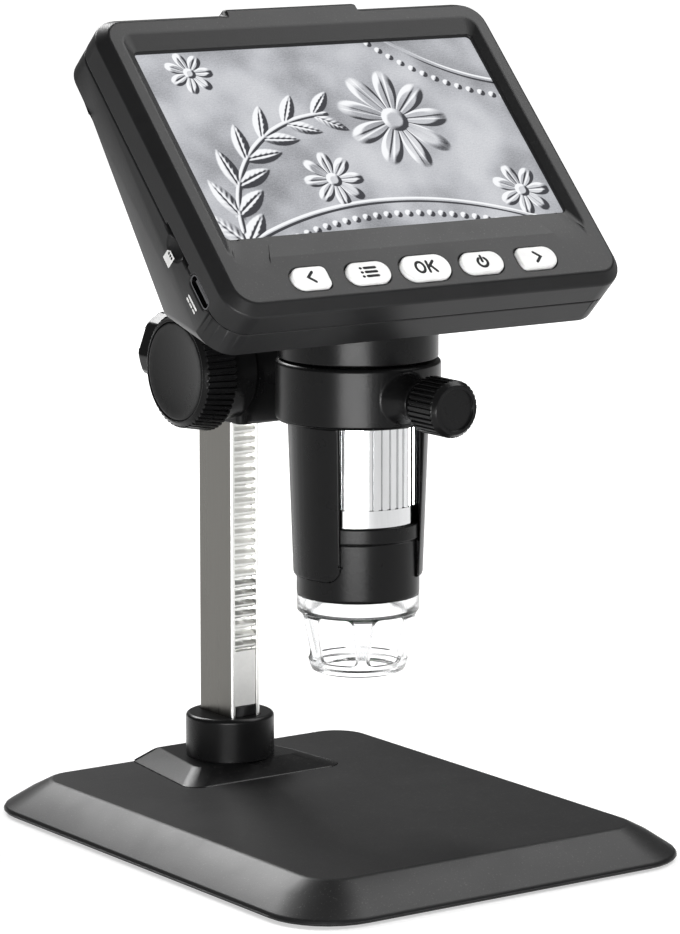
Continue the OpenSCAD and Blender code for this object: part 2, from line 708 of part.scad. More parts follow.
module pinion_outline() {
    base_r = pitch_r * cos(pressure_angle);
    tip_r = pitch_r + addendum;
    root_r = pitch_r - dedendum;
    half_pitch = tooth_t / 2 / pitch_r * 180 / PI;
    radii = [base_r, (base_r + pitch_r) / 2, pitch_r, (pitch_r + tip_r) / 2, tip_r];
    flank = [for (r = radii) [r, half_pitch + involute(pressure_angle) - involute(acos(min(1, base_r / r)))]];
    turn = pinion_rise / pitch_r * 180 / PI;        // keeps a tooth in the rack's gap at ring_z
    foot = [[root_r, flank[0][1]]];
    side = concat(foot, flank);
    last = len(side) - 1;
    polygon([for (i = [0 : pinion_teeth - 1], k = [0 : 2 * last + 1])
        let (p = k <= last ? [side[k][0], -side[k][1]] : side[2 * last + 1 - k])
        polar(p[0], 90 - turn + i * 360 / pinion_teeth + p[1])]);
}

// Barrel

module grip(middle) {
    at_barrel() rotate([0, 0, barrel_turn + middle]) difference() {
        rotate([0, 0, -grip_span / 2]) rotate_extrude(angle = grip_span) polygon([
            [nose_r + fit_gap, grip_bottom], [grip_bottom_r - 0.35, grip_bottom],
            [grip_bottom_r, grip_bottom + 0.5], [barrel_r - 0.05, grip_top],
            [sill_r + fit_gap, grip_top], [sill_r + fit_gap, sill_z - sill_h - 0.1],
            [nose_r + fit_gap, sill_z - sill_h - 0.1]]);
        for (side = [-1, 1]) rotate([0, 0, side * (grip_span / 2 - corner_tuck)])
            translate([nose_r - 2, 0, grip_bottom])
            rotate([90, 0, 90]) linear_extrude(5) difference() {
                translate([side < 0 ? -1 : -grip_corner_r, -1]) square(grip_corner_r + 1);
                translate([-side * grip_corner_r, grip_corner_r]) circle(grip_corner_r);
            }
    }
}

module grip_left() color("#1f2023") grip(180);
module grip_right() color("#1f2023") grip(0);

module barrel_core() color("#202124") at_barrel() difference() {
    rotate_extrude() polygon([
        [guide_inner_r, guide_bottom], [guide_r, guide_bottom], [guide_r, collar_z], [barrel_r, collar_z],
        [barrel_r, core_top], [sensor_pocket_r, core_top], [sensor_pocket_r, sensor_z],
        [guide_inner_r, sensor_z]]);
    // slots that guide the lens cell's pins
    slot_half = cell_travel + lens_pin_r + 0.3;
    rotate([0, 0, barrel_turn]) box(-guide_r - 1, guide_r + 1, -lens_pin_r - 0.15, lens_pin_r + 0.15,
        cell_z + cell_h / 2 - slot_half, cell_z + cell_h / 2 + slot_half);
    for (a = [0, 180]) rotate([0, 0, a])
        translate([sensor_screw_r, 0, sensor_z - 3]) cylinder(r = 0.8, h = 4);
    for (a = core_screw_angles) rotate([0, 0, a])
        translate([core_screw_r, 0, core_top - 6]) cylinder(r = 1, h = 7);
}

module nose_ring() color("#1c1d1f") at_barrel() rotate_extrude() polygon([
    [pocket_r, nose_z], [nose_r - 0.4, nose_z], [nose_r, nose_z + 0.4], [nose_r, sill_z - sill_h],
    [sill_r, sill_z - sill_h + 0.15], [sill_r, sill_z], [guide_r + fit_gap, sill_z],
    [guide_r + fit_gap, guide_bottom - 0.2], [pocket_r, guide_bottom - 0.2]]);

module led_board() color("#e9ebea") at_barrel()
    ring(pocket_r - 0.1, 7, guide_bottom - 0.2 - board_t, guide_bottom - 0.2);

module leds() color("#fff7d8") at_barrel()
    for (i = [0 : led_count - 1]) rotate([0, 0, i * 360 / led_count])
        translate([led_ring_r, 0, guide_bottom - 0.2 - board_t - 3]) {
            translate([0, 0, 1.4]) cylinder(r = 1.5, h = 1.6);
            translate([0, 0, 1.4]) sphere(r = 1.4);
        }

module clear_shroud() color([0.86, 0.88, 0.9, 0.4]) at_barrel() difference() {
    rotate_extrude() polygon([
        [pocket_r - 1.3, nose_z + 1.5], [pocket_r - 0.1, nose_z + 1.5], [pocket_r - 0.1, nose_z],
        [nose_r - 0.1, nose_z], [nose_r - 0.1, nose_z - rim_h], [shroud_top_r, nose_z - rim_h - 0.5],
        [shroud_bottom_r, shroud_bottom + 1.7], [shroud_bottom_r - 0.5, shroud_bottom + 0.5],
        [shroud_bottom_r - 1.6, shroud_bottom], [shroud_bottom_r - 2.6, shroud_bottom],
        [shroud_bottom_r - 2.6, shroud_bottom + 1.2], [shroud_bottom_r - shroud_t, shroud_bottom + 1.8],
        [shroud_top_r - shroud_t, nose_z - rim_h - 1.2], [pocket_r - 1.3, nose_z - rim_h]]);
    // upright windows with round corners, between narrow bars
    window_low = shroud_bottom + shroud_foot;
    window_high = nose_z - rim_h - 0.4;
    window_w = 2 * shroud_bottom_r * sin(180 / shroud_windows) - shroud_bar;
    for (i = [0.5 : shroud_windows]) rotate([0, 0, i * 360 / shroud_windows])
        translate([shroud_bottom_r - 3, 0, (window_low + window_high) / 2])
            rotate([90, 0, 90]) linear_extrude(8) rounded_rect(window_w, window_high - window_low, 1.5);
}

module focus_wheel() color("#d8dadb") at_barrel() difference() {
    union() {
        translate([0, 0, wheel_z]) cylinder(r = wheel_r, h = wheel_band_h);
        translate([0, 0, wheel_z + wheel_band_h - eps]) linear_extrude(wheel_top - wheel_z - wheel_band_h)
            ribbed(wheel_r - 0.1, wheel_flutes, 0.45);
    }
    translate([0, 0, wheel_z - 1]) cylinder(r = guide_r + turn_gap, h = wheel_top);
    translate([0, 0, wheel_z + 2.2]) cylinder(r = wheel_r - wheel_wall, h = wheel_top - wheel_z - 4.4);
}

module lens_cell() color("#2a2a2c") at_barrel() {
    ring(guide_inner_r - turn_gap, 8, cell_z, cell_z + cell_h);
    ring(8.2, 6.6, cell_z + 1, cell_z + 2);
    for (a = [0, 180]) rotate([0, 0, a + barrel_turn])
        translate([guide_inner_r - 1.5, 0, cell_z + cell_h / 2]) rotate([0, 90, 0])
            cylinder(r = lens_pin_r, h = wheel_r - wheel_wall - 0.3 - guide_inner_r + 1.5);
}

module objective_lens() color([0.75, 0.82, 0.9, 0.5]) at_barrel(cell_z + 2) {
    edge = 1.6;
    sag = 1.4;
    ball_r = (7.5 * 7.5 + sag * sag) / (2 * sag);
    cylinder(r = 7.95, h = edge);
    intersection() {
        translate([0, 0, edge]) cylinder(r = 7.5, h = 3);
        translate([0, 0, edge + sag - ball_r]) sphere(r = ball_r, $fn = 128);
    }
}

module lens_retainer() color("#2a2a2c") at_barrel() ring(7.95, 7.55, cell_z + 3.6, cell_z + 6);

sensor_screw_r = 11.4;
core_screw_r = 14.2;
core_screw_angles = [30, 150, 270];

module sensor_board() color("#1f5a3a") at_barrel(sensor_z) difference() {
    cylinder(r = sensor_pocket_r - 0.15, h = board_t);
    for (a = [0, 180]) rotate([0, 0, a]) translate([sensor_screw_r, 0, -1]) cylinder(r = 0.8, h = 4);
}

module image_sensor() color("#3a3a40") at_barrel(sensor_z - 1.1)
    translate([-4, -4, 0]) cube([8, 8, 1.1]);

// The flat cable from the sensor board up through the neck to the main board
module ribbon_cable() color("#c98f4e") {
    board_y = barrel_y;
    v = (board_y - head_y + board_n * sin(head_tilt)) / cos(head_tilt);
    top = head_place(v, board_n);
    low = sensor_z + board_t;
    t = 0.3;
    along_x(-cable_w / 2, cable_w / 2) polygon([
        [board_y, low], [board_y + t, low],
        [board_y + t, top[1] + t * tan(head_tilt)], [board_y, top[1]]]);
}

// Neck

neck_screw_places = [for (a = [-125, -55, 0, 180]) polar(neck_r - neck_wall / 2, a)];

module neck_cylinder(r, z0) at_barrel(z0) cylinder(r = r, h = head_z - 16 - z0);

module neck() color("#202124") difference() {
    union() {
        neck_cylinder(neck_r, shoulder_z);
        at_barrel(core_top) cylinder(r = barrel_r - 0.3, h = shoulder_z - core_top + 1);
    }
    neck_cylinder(neck_r - neck_wall, core_top + neck_floor);
    at_barrel(core_top - 1) cylinder(r = 8, h = neck_floor + 2);
    at_head() {
        hump(0);
        head_slab(0, side_n, neck_r);
    }
    for (a = core_screw_angles) rotate_at_barrel(a) translate([core_screw_r, 0, core_top - 1])
        cylinder(r = 1.05, h = 2 * neck_floor);
    for (p = neck_screw_places) translate([p[0], barrel_y + p[1], underside_z(barrel_y + p[1]) - 7])
        cylinder(r = 0.85, h = 12);
}

module rotate_at_barrel(a) at_barrel() rotate([0, 0, a]) children();

module neck_screws() color("#a9adb2") {
    for (a = core_screw_angles) rotate_at_barrel(a) translate([core_screw_r, 0, core_top + neck_floor])
        cap_screw(0.95, neck_floor + 5, 1.7, 1.2);
    for (p = neck_screw_places) {
        y = barrel_y + p[1];
        seat = underside_z(y) + shell_t / cos(under_angle) + 0.5;
        translate([p[0], y, seat]) cap_screw(0.8, 7, 1.7, 1.2);
    }
}

// Head

// The thicker part of the head's back, smaller by the given inset all round
module hump(inset) {
    width = head_w - 2 * inset;
    length = hump_top - head_bottom - 2 * inset;
    hull() {
        translate([0, (hump_top + head_bottom) / 2, 0])
            slab(width, length, head_corner_r - inset, side_n, side_n + 1 + inset);
        both_sides() {
            translate(hump_high) sphere(r = hump_r - inset, $fn = 24);
            translate(hump_low) sphere(r = hump_r - inset, $fn = 24);
        }
    }
}

module head_slab(inset, n0, n1) translate([0, head_mid, 0])
    slab(head_w - 2 * inset, head_l - 2 * inset, head_corner_r - inset, n0, n1);

// Outline of the USB port, drawn along X from one place to another
module usb_shape(w, h, x0, x1) translate([0, usb_y, joint_n]) along_x(x0, x1)
    rounded_rect(w, h, h / 2 - 0.1);

module usb_opening() usb_shape(usb_w + 0.3, usb_h + 0.3, -head_w / 2 - 1, -head_w / 2 + shell_t + 1);

// Slot for a memory card on the joint between the two shells
module card_opening() box(-head_w / 2 - 1, -head_w / 2 + shell_t + 0.5,
    card_y - card_w / 2, card_y + card_w / 2, joint_n - 0.4, joint_n + 0.7);

// Places of the screw posts at the head's four corners
corner_posts = [for (x = [-post_top_x, post_top_x], y = [post_high, post_low]) [x, y, 0]];
board_posts = [for (x = [-33, 40], y = [20, -27]) [x, y, 0]];

module rear_shell() color("#252629") at_head() difference() {
    union() {
        difference() {
            union() {
                head_slab(0, side_n, joint_n - seam);
                hump(0);
            }
            head_slab(shell_t, side_n + shell_t, 0);
            hump(shell_t);
        }
        // posts that meet the bezel's posts, inside the shell
        intersection() {
            union() {
                head_slab(0.5, side_n + 0.5, joint_n - seam);
                hump(0.5);
            }
            union() {
                for (p = corner_posts) translate([p[0], p[1], -40])
                    cylinder(r = 2.9, h = 40 + joint_n - seam);
                for (p = board_posts) translate([p[0], p[1], -40])
                    cylinder(r = 2.6, h = 40 + board_n);
            }
        }
    }
    for (p = corner_posts) translate([p[0], p[1], -40]) {
        cylinder(r = 1.3, h = 40);
        cylinder(r = 2.4, h = 40 + side_n + 2.6);
    }
    for (p = board_posts) translate([p[0], p[1], board_n - 5]) cylinder(r = 0.8, h = 10);
    usb_opening();
    card_opening();
    // thumb notch beside the card slot
    translate([notch_depth - notch_r - head_w / 2, card_y, joint_n]) sphere(r = notch_r);
    rotate([-head_tilt, 0, 0]) translate([0, -head_y, -head_z]) {
        at_barrel(core_top) cylinder(r = 11, h = 36);
        for (p = neck_screw_places) translate([p[0], barrel_y + p[1], underside_z(barrel_y + p[1]) - 1]) {
            cylinder(r = 1, h = 4.6);
            translate([0, 0, 1 + shell_t / cos(under_angle) + 0.5]) cylinder(r = 1.9, h = 6);
        }
    }
}

module lobe(side) hull() {
    translate([side * 41, -screen_h / 2 + 4, 0]) slab(10, 8, 2, -eps, eps);
    translate([side * 44.4, -33.6, 0]) slab(9, 6.6, 3, face_n, face_n + 0.1);
}

module front_bezel() color("#2b2c2f") at_head() difference() {
    union() {
        hull() {
            head_slab(0, joint_n, face_n - head_bevel);
            head_slab(head_bevel, face_n - 0.05, face_n);
        }
        // plain lug in the middle of the top edge
        along_x(-tab_w / 2, tab_w / 2) polygon([
            [head_top - 8, joint_n], [head_top + 0.6, joint_n], [head_top + 0.6, face_n - 1],
            [head_top - 0.5, face_n], [head_top - 8, face_n]]);
    }
    // inside of the shell, less the posts for the screws
    difference() {
        head_slab(shell_t, joint_n - 1, panel_n);
        for (p = corner_posts) translate([p[0], p[1], joint_n]) cylinder(r = 2.4, h = 8);
        for (p = bracket_posts) translate([p[0], p[1], bracket_n + bracket_t]) cylinder(r = 1.9, h = 5);
        for (p = key_board_posts) translate([p[0], p[1], key_board_n]) cylinder(r = 1.7, h = 5);
    }
    // window for the screen, with sloping sides
    translate([0, 0, -5]) linear_extrude(10) rounded_rect(screen_w, screen_h, window_r, $fn = hull_fn);
    hull() {
        slab(screen_w, screen_h, window_r, -eps, eps);
        translate([0, -1, 0]) slab(screen_w + 4.8, screen_h + 11.4, 3, face_n, face_n + 0.1);
    }
    lobe(1);
    lobe(-1);
    for (k = keys) key_shape(k, key_gap, -5, 5);
    for (p = corner_posts) translate([p[0], p[1], joint_n - 1]) cylinder(r = 1.05, h = 6);
    for (p = bracket_posts) translate([p[0], p[1], bracket_n]) cylinder(r = 0.8, h = 3.4);
    for (p = key_board_posts) translate([p[0], p[1], -5]) cylinder(r = 0.8, h = 4.5);
    usb_opening();
    card_opening();
}

// Small screws of the screen's bracket, the key board, the main board and the sensor board
module inner_screws() color("#a9adb2") {
    at_head() {
        for (p = bracket_posts) translate([p[0], p[1], bracket_n]) mirror([0, 0, 1]) small_screw(3.2);
        for (p = key_board_posts) translate([p[0], p[1], key_board_n - 1]) mirror([0, 0, 1]) small_screw(3.2);
        for (p = board_posts) translate([p[0], p[1], board_n + main_board_t]) small_screw(5.6);
    }
    for (a = [0, 180]) rotate_at_barrel(a)
        translate([sensor_screw_r, 0, sensor_z + board_t]) small_screw(3.4);
}

module shell_screws() color("#a9adb2") at_head()
    for (p = corner_posts) translate([p[0], p[1], side_n + 2.6]) mirror([0, 0, 1])
        cap_screw(1, joint_n - side_n + 2, 2.2, 1.5);

bracket_posts = concat([for (x = [-30, 30]) [x, panel_high + 2.6, 0]],
    [for (x = [-45.5, 45.5]) [x, panel_low - 2.4, 0]]);
key_board_posts = [for (x = [-43.4, 43.4]) [x, head_bottom + 4.3, 0]];

module screen_panel() color("#8fa3b8") at_head()
    box(-panel_x, panel_x, panel_low, panel_high, panel_n - panel_t, panel_n);

module screen_bracket() color("#b4b7ba") at_head() difference() {
    union() {
        box(-panel_x, panel_x, panel_low, panel_high, bracket_n, bracket_n + bracket_t);
        for (p = bracket_posts) translate([p[0], p[1], bracket_n]) cylinder(r = 2, h = bracket_t);
        for (p = bracket_posts) box(p[0] - 2, p[0] + 2, min(p[1], panel_high - 1), max(p[1], panel_low + 1),
            bracket_n, bracket_n + bracket_t);
    }
    box(-30, 30, -16, 14, bracket_n - 1, bracket_n + 2);
    for (p = bracket_posts) translate([p[0], p[1], bracket_n - 1]) cylinder(r = 0.85, h = 4);
}

module main_board() color("#1f5a3a") at_head() difference() {
    board_front = board_n + main_board_t;
    union() {
        box(board_left, 46, -31, 25, board_n, board_front);
        // tab that carries the USB port
        box(board_left, board_left + 11, usb_y - 4.3, -30, board_n, board_front);
        // processor, memory and power parts on the side towards the screen
        box(-14, 0, -6, 8, board_front, board_front + 1.4);
        box(6, 16, -4, 6, board_front, board_front + 1.1);
        box(-34, -28, 4, 10, board_front, board_front + 1.8);
    }
    usb_shape(usb_w + 0.2, usb_h + 0.2, board_left - 1, -head_w / 2 + usb_depth + 0.4);
    for (p = board_posts) translate([p[0], p[1], board_n - 1]) cylinder(r = 0.9, h = 4);
}

module battery() color("#c9ccd0") at_head()
    box(cable_w / 2 + 2, cable_w / 2 + 2 + battery_w, -20, 11, board_n - battery_t, board_n);

module usb_port() color("#c4c7ca") at_head() difference() {
    front = -head_w / 2 + 0.2;
    usb_shape(usb_w, usb_h, front, front + usb_depth);
    difference() {
        usb_shape(usb_w - 0.6, usb_h - 0.6, front - 1, front + usb_depth - 1);
        box(front + 0.6, front + usb_depth, usb_y - 3.2, usb_y + 3.2, joint_n - 0.35, joint_n + 0.35);
    }
}

module card_socket() color("#c4c7ca") at_head() difference() {
    board_front = board_n + main_board_t;
    box(board_left, board_left + 15, card_y - 7.3, card_y + 7.3, board_front, board_front + 1.9);
    box(board_left - 1, board_left + 13.6, card_y - 5.7, card_y + 5.7, board_front + 0.4, board_front + 1.5);
}

// Keys: place in the row, width, corner radius at the left end and at the right end
keys = [[-2, 9.8, 2.95, 1.6], [-1, 11.6, 2.95, 2.95], [0, 13.3, 3.4, 3.4], [1, 11.6, 2.95, 2.95],
    [2, 10.6, 1.6, 2.95]];

module key_shape(k, grow, n0, n1) {
    height = key_h + (k[0] == 0 ? 1 : 0);
    translate([key_x0 + k[0] * key_pitch, key_y, n0]) linear_extrude(n1 - n0) {
        for (side = [-1, 1]) {
            r = min(height / 2, k[side < 0 ? 2 : 3]) + grow - eps;
            for (up = [-1, 1])
                translate([side * (k[1] / 2 + grow - r), up * (height / 2 + grow - r)]) circle(r);
            translate([side < 0 ? -k[1] / 2 - grow : 0, r - height / 2 - grow])
                square([k[1] / 2 + grow, height + 2 * (grow - r)]);
        }
        a = k[1] / 2 + grow - min(height / 2, k[2]) - grow + eps;
        b = k[1] / 2 + grow - min(height / 2, k[3]) - grow + eps;
        translate([-a, -height / 2 - grow]) square([a + b, height + 2 * grow]);
    }
}

module key(k) at_head() {
    flange_front = panel_n - 0.15;
    key_shape(k, 0, flange_front - key_flange_t, face_n + key_proud);
    intersection() {
        key_shape(k, key_flange, flange_front - key_flange_t, flange_front);
        box(-60, 60, key_y - 4, panel_low - 0.15, -5, 5);
    }
    translate([key_x0 + k[0] * key_pitch, key_y, key_board_n + switch_h + key_travel + 0.1])
        cylinder(r = 1.5, h = 2 * key_flange_t);
}

module key_left() color("#f2f2f0") key(keys[0]);
module key_menu() color("#f2f2f0") key(keys[1]);
module key_ok() color("#f2f2f0") key(keys[2]);
module key_power() color("#f2f2f0") key(keys[3]);
module key_right() color("#f2f2f0") key(keys[4]);

module key_board() color("#1f5a3a") at_head() {
    t = 1;
    difference() {
        union() {
            box(-41.4, 41.4, head_bottom + 2.4, panel_low - 0.6, key_board_n - t, key_board_n);
            for (p = key_board_posts) box(min(p[0] - 1.8, 0), max(p[0] + 1.8, 0), p[1] - 1.8, p[1] + 1.8,
                key_board_n - t, key_board_n);
        }
        for (p = key_board_posts) translate([p[0], p[1], key_board_n - 2]) cylinder(r = 0.9, h = 4);
    }
    for (k = keys) translate([key_x0 + k[0] * key_pitch, key_y, key_board_n])
        box(-2, 2, -2, 2, 0, switch_h);
}

base_plate();
base_cover();
steel_ballast();
rubber_feet();
base_screws();
plinth();
column_collar();
column();
column_foot();
column_bolt();
cross_pin();
column_cap();
gear_rack();
carriage();
slide_liners();
shaft_bushes();
end_cap();
screw_insert();
friction_pad();
tension_knob();
tension_screw();
lock_knob();
lock_screw();
focus_knob();
knob_cap();
knob_screw();
focus_shaft();
pinion();
barrel_core();
grip_left();
grip_right();
nose_ring();
led_board();
leds();
clear_shroud();
focus_wheel();
lens_cell();
objective_lens();
lens_retainer();
sensor_board();
image_sensor();
ribbon_cable();
neck();
neck_screws();
rear_shell();
front_bezel();
shell_screws();
inner_screws();
screen_panel();
screen_bracket();
main_board();
battery();
usb_port();
card_socket();
key_board();
key_left();
key_menu();
key_ok();
key_power();
key_right();
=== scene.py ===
"""Digital microscope with a tilted screen, shown on a pale studio floor.

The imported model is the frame: it gives every piece's place and size, in metres, +Z up. The operators give the
pieces their finishes, round the moulded edges, and add the key symbols, the picture and the studio.
"""

import json
import math

import bmesh
import bpy
from bpy.props import FloatProperty, FloatVectorProperty, IntProperty, PointerProperty
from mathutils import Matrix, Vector
from mathutils.bvhtree import BVHTree
from mathutils.kdtree import KDTree

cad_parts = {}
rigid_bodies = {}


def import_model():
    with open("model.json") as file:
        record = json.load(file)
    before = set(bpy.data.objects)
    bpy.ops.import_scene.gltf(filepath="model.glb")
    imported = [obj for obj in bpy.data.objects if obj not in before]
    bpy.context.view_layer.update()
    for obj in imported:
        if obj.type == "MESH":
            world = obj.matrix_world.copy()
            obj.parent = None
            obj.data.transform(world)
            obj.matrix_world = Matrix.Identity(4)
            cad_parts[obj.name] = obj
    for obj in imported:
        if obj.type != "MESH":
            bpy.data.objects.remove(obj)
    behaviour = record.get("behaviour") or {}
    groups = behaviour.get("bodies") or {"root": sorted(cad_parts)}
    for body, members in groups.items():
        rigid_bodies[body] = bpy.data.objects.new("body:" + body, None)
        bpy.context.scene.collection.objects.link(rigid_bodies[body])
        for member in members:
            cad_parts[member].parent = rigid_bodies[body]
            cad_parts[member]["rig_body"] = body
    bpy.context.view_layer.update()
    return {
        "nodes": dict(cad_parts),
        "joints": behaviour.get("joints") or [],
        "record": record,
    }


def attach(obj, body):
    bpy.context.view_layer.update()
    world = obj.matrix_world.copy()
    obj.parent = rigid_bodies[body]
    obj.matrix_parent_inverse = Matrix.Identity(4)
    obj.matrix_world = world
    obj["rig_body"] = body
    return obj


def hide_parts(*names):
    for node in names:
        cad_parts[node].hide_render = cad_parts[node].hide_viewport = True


bl_info = {
    "name": "Digital microscope",
    "version": (1, 0, 0),
    "blender": (4, 5, 0),
    "location": "3D View > Sidebar > Microscope",
    "description": "Finishes and stages a digital microscope with a tilted screen",
    "category": "Add Mesh",
}

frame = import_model()

MM = 0.001

# Angles in degrees between the two faces at an edge. An edge that bends more than this is rounded.
MOULDED_EDGE = 28.0             # on most pieces
SHELL_EDGE = 24.0               # on the rear shell, whose sloping faces meet at lower angles
CREASE = 13.5                   # where flat faces meet at soft edges; a round corner turns less at each step
SHARP_LEFT = 30.0               # above this, an edge that can't be rounded is shaded as a sharp line
FLAT = 0.5                      # faces that meet at less than this become one

WELD = 0.002 * MM               # corners that lie closer than this become one
SEAT = 0.05 * MM                # height over a seated piece's lowest point up to which its edges stay sharp
CLEAR_OF_SURFACE = 0.05 * MM    # a line of sight starts this far out
KEY_TOP = 0.01 * MM             # depth below a key's highest point that still counts as its top
ROUNDING_TRIES = 12
STRAY, ROOM = 1.2, 1.5          # limits on a rounded edge, as shares of its radius
SHARPEST_TURN = 0.5             # keeps a stroke from running out at a tight corner
STROKE_SIDES = 8
STROKE_END = (0.8, 0.45)        # shares of the width at the last two sections of a stroke
STROKE_END_STEP = 0.25          # how far apart they are, as a share of the width
PLATE_TOP = 0.97                # share of a printed plate's outline that its top covers

FACE_STRENGTH = "__mod_weightednormals_faceweight"      # face layer that the weighted normals read
STRONG, WEAK = 16384, -16384
MIX_FIRST, MIX_SECOND, MIX_RESULT = 6, 7, 2             # a mix node's sockets for colours

# ---------------------------------------------------------------------------------------------------------
# The head's own axes: across, up the screen's slope, and out of the screen


def head_axes():
    """Directions across, up the slope and out of the screen, read from the way a key is pressed in."""
    press = next(joint for joint in frame["joints"] if joint["name"] == "key_ok_press")
    out = -Vector(press["axis"]).normalized()
    across = Vector((1, 0, 0))
    return across, out.cross(across), out


ACROSS, UP_SLOPE, OUT = head_axes()


def reach(node, direction):
    """Lowest and highest place of a node's mesh along a direction."""
    places = [vertex.co.dot(direction) for vertex in frame["nodes"][node].data.vertices]
    return min(places), max(places)


def on_head(across, up, out):
    """Point from its three places in the head's own axes, measured from the world's origin."""
    return ACROSS * across + UP_SLOPE * up + OUT * out


def slot_of(node):
    """Name of the material slot that the record gives a node."""
    return next(part["material_slot"] for part in frame["record"]["subparts"] if part["node"] == node)


def body_of(node):
    """Name of the body that a node belongs to."""
    return frame["nodes"][node]["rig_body"]


# ---------------------------------------------------------------------------------------------------------
# Settings


class MicroscopeShapes(bpy.types.PropertyGroup):
    """Sizes of the details that are modelled here."""

    case_edge: FloatProperty(
        name="Case edge", description="Radius of the rounded edges of the cases and the base",
        default=0.7 * MM, unit="LENGTH")
    part_edge: FloatProperty(
        name="Part edge", description="Radius of the rounded edges of the smaller mouldings",
        default=0.4 * MM, unit="LENGTH")
    fine_edge: FloatProperty(
        name="Fine edge", description="Radius of the rounded edges of ribs, teeth and sheet metal",
        default=0.12 * MM, unit="LENGTH")
    key_edge: FloatProperty(
        name="Key edge", description="Radius of the rounded rim of a key",
        default=0.45 * MM, unit="LENGTH")
    edge_steps: IntProperty(
        name="Edge steps", description="Number of faces across a rounded edge", default=3)
    line_w: FloatProperty(
        name="Symbol line", description="Width of the lines of the key symbols",
        default=0.72 * MM, unit="LENGTH")
    symbol_gap: FloatProperty(
        name="Symbol distance", description="From the joint of the shells to the middle of the side symbols",
        default=4.2 * MM, unit="LENGTH")
    print_t: FloatProperty(
        name="Print thickness", description="Thickness of the printed symbols",
        default=0.05 * MM, unit="LENGTH")


class MicroscopeColours(bpy.types.PropertyGroup):
    """Colours of the finishes."""

    black: FloatVectorProperty(
        name="Black plastic", description="Colour of the black mouldings",
        default=(0.005, 0.005, 0.0052), subtype="COLOR")
    base: FloatVectorProperty(
        name="Base", description="Colour of the base",
        default=(0.009, 0.009, 0.0093), subtype="COLOR")
    head: FloatVectorProperty(
        name="Head", description="Colour of the head's shells",
        default=(0.013, 0.013, 0.0134), subtype="COLOR")
    key: FloatVectorProperty(
        name="Keys", description="Colour of the keys",
        default=(0.80, 0.80, 0.79), subtype="COLOR")
    ink: FloatVectorProperty(
        name="Key symbols", description="Colour of the symbols on the keys",
        default=(0.008, 0.008, 0.009), subtype="COLOR")
    column: FloatVectorProperty(
        name="Column", description="Colour of the column's metal",
        default=(0.14, 0.136, 0.125), subtype="COLOR")


def shapes():
    return bpy.context.scene.microscope_shapes


def colours():
    return bpy.context.scene.microscope_colours


# ---------------------------------------------------------------------------------------------------------
# Shader building blocks


class Graph:
    """Short ways to add nodes to a shader tree and link them."""

    def __init__(self, tree):
        self.tree = tree

    def add(self, kind, inputs=None, **settings):
        node = self.tree.nodes.new(kind)
        for name, value in settings.items():
            setattr(node, name, value)
        self.fill(node, inputs or {})
        return node

    def fill(self, node, inputs):
        """Links each input of a node to a socket, or sets it to a value."""
        for key, value in inputs.items():
            if isinstance(value, bpy.types.NodeSocket):
                self.tree.links.new(value, node.inputs[key])
            else:
                node.inputs[key].default_value = value

    def math(self, operation, *values, clamp=False):
        node = self.add("ShaderNodeMath", operation=operation, use_clamp=clamp)
        self.fill(node, dict(enumerate(values)))
        return node.outputs["Value"]

    def plus(self, first, second, clamp=False):
        return self.math("ADD", first, second, clamp=clamp)

    def minus(self, first, second):
        return self.math("SUBTRACT", first, second)

    def times(self, first, second):
        return self.math("MULTIPLY", first, second)

    def spread(self, value, low, high, to_low=0.0, to_high=1.0):
        """Value taken from one range to another and held there, with a smooth start and end."""
        node = self.add("ShaderNodeMapRange", {
            "Value": value, "From Min": low, "From Max": high, "To Min": to_low, "To Max": to_high},
            interpolation_type="SMOOTHSTEP")
        return node.outputs["Result"]

    def mix(self, factor, first, second):
        node = self.add("ShaderNodeMix", data_type="RGBA")
        self.fill(node, {"Factor": factor, MIX_FIRST: first, MIX_SECOND: second})
        return node.outputs[MIX_RESULT]

    def blend(self, operation, first, second):
        """Vector made from two others."""
        node = self.add("ShaderNodeVectorMath", {0: first, 1: second}, operation=operation)
        return node.outputs["Vector"]

    def dot(self, first, second):
        node = self.add("ShaderNodeVectorMath", {0: first, 1: second}, operation="DOT_PRODUCT")
        return node.outputs["Value"]

    def place(self, kind="Object"):
        """Place on the object, or its normal there."""
        return self.add("ShaderNodeTexCoord").outputs[kind]

    def group(self, tree, **inputs):
        node = self.add("ShaderNodeGroup", node_tree=tree)
        self.fill(node, {name.replace("_", " "): value for name, value in inputs.items()})
        return node.outputs

    def noise(self, vector, scale, detail=3.0, roughness=0.55):
        node = self.add("ShaderNodeTexNoise", {
            "Vector": vector, "Scale": scale, "Detail": detail, "Roughness": roughness})
        return node.outputs["Fac"]


def effect(name, inputs, outputs, build):
    """Shader node group with named sockets, made once."""
    tree = bpy.data.node_groups.get(name)
    if tree:
        return tree
    tree = bpy.data.node_groups.new(name, "ShaderNodeTree")
    for title, kind, value in inputs:
        socket = tree.interface.new_socket(title, in_out="INPUT", socket_type="NodeSocket" + kind)
        if value is not None:
            socket.default_value = value
    for title, kind in outputs:
        tree.interface.new_socket(title, in_out="OUTPUT", socket_type="NodeSocket" + kind)
    graph = Graph(tree)
    start = graph.add("NodeGroupInput")
    end = graph.add("NodeGroupOutput")
    graph.fill(end, build(graph, start.outputs))
    return tree


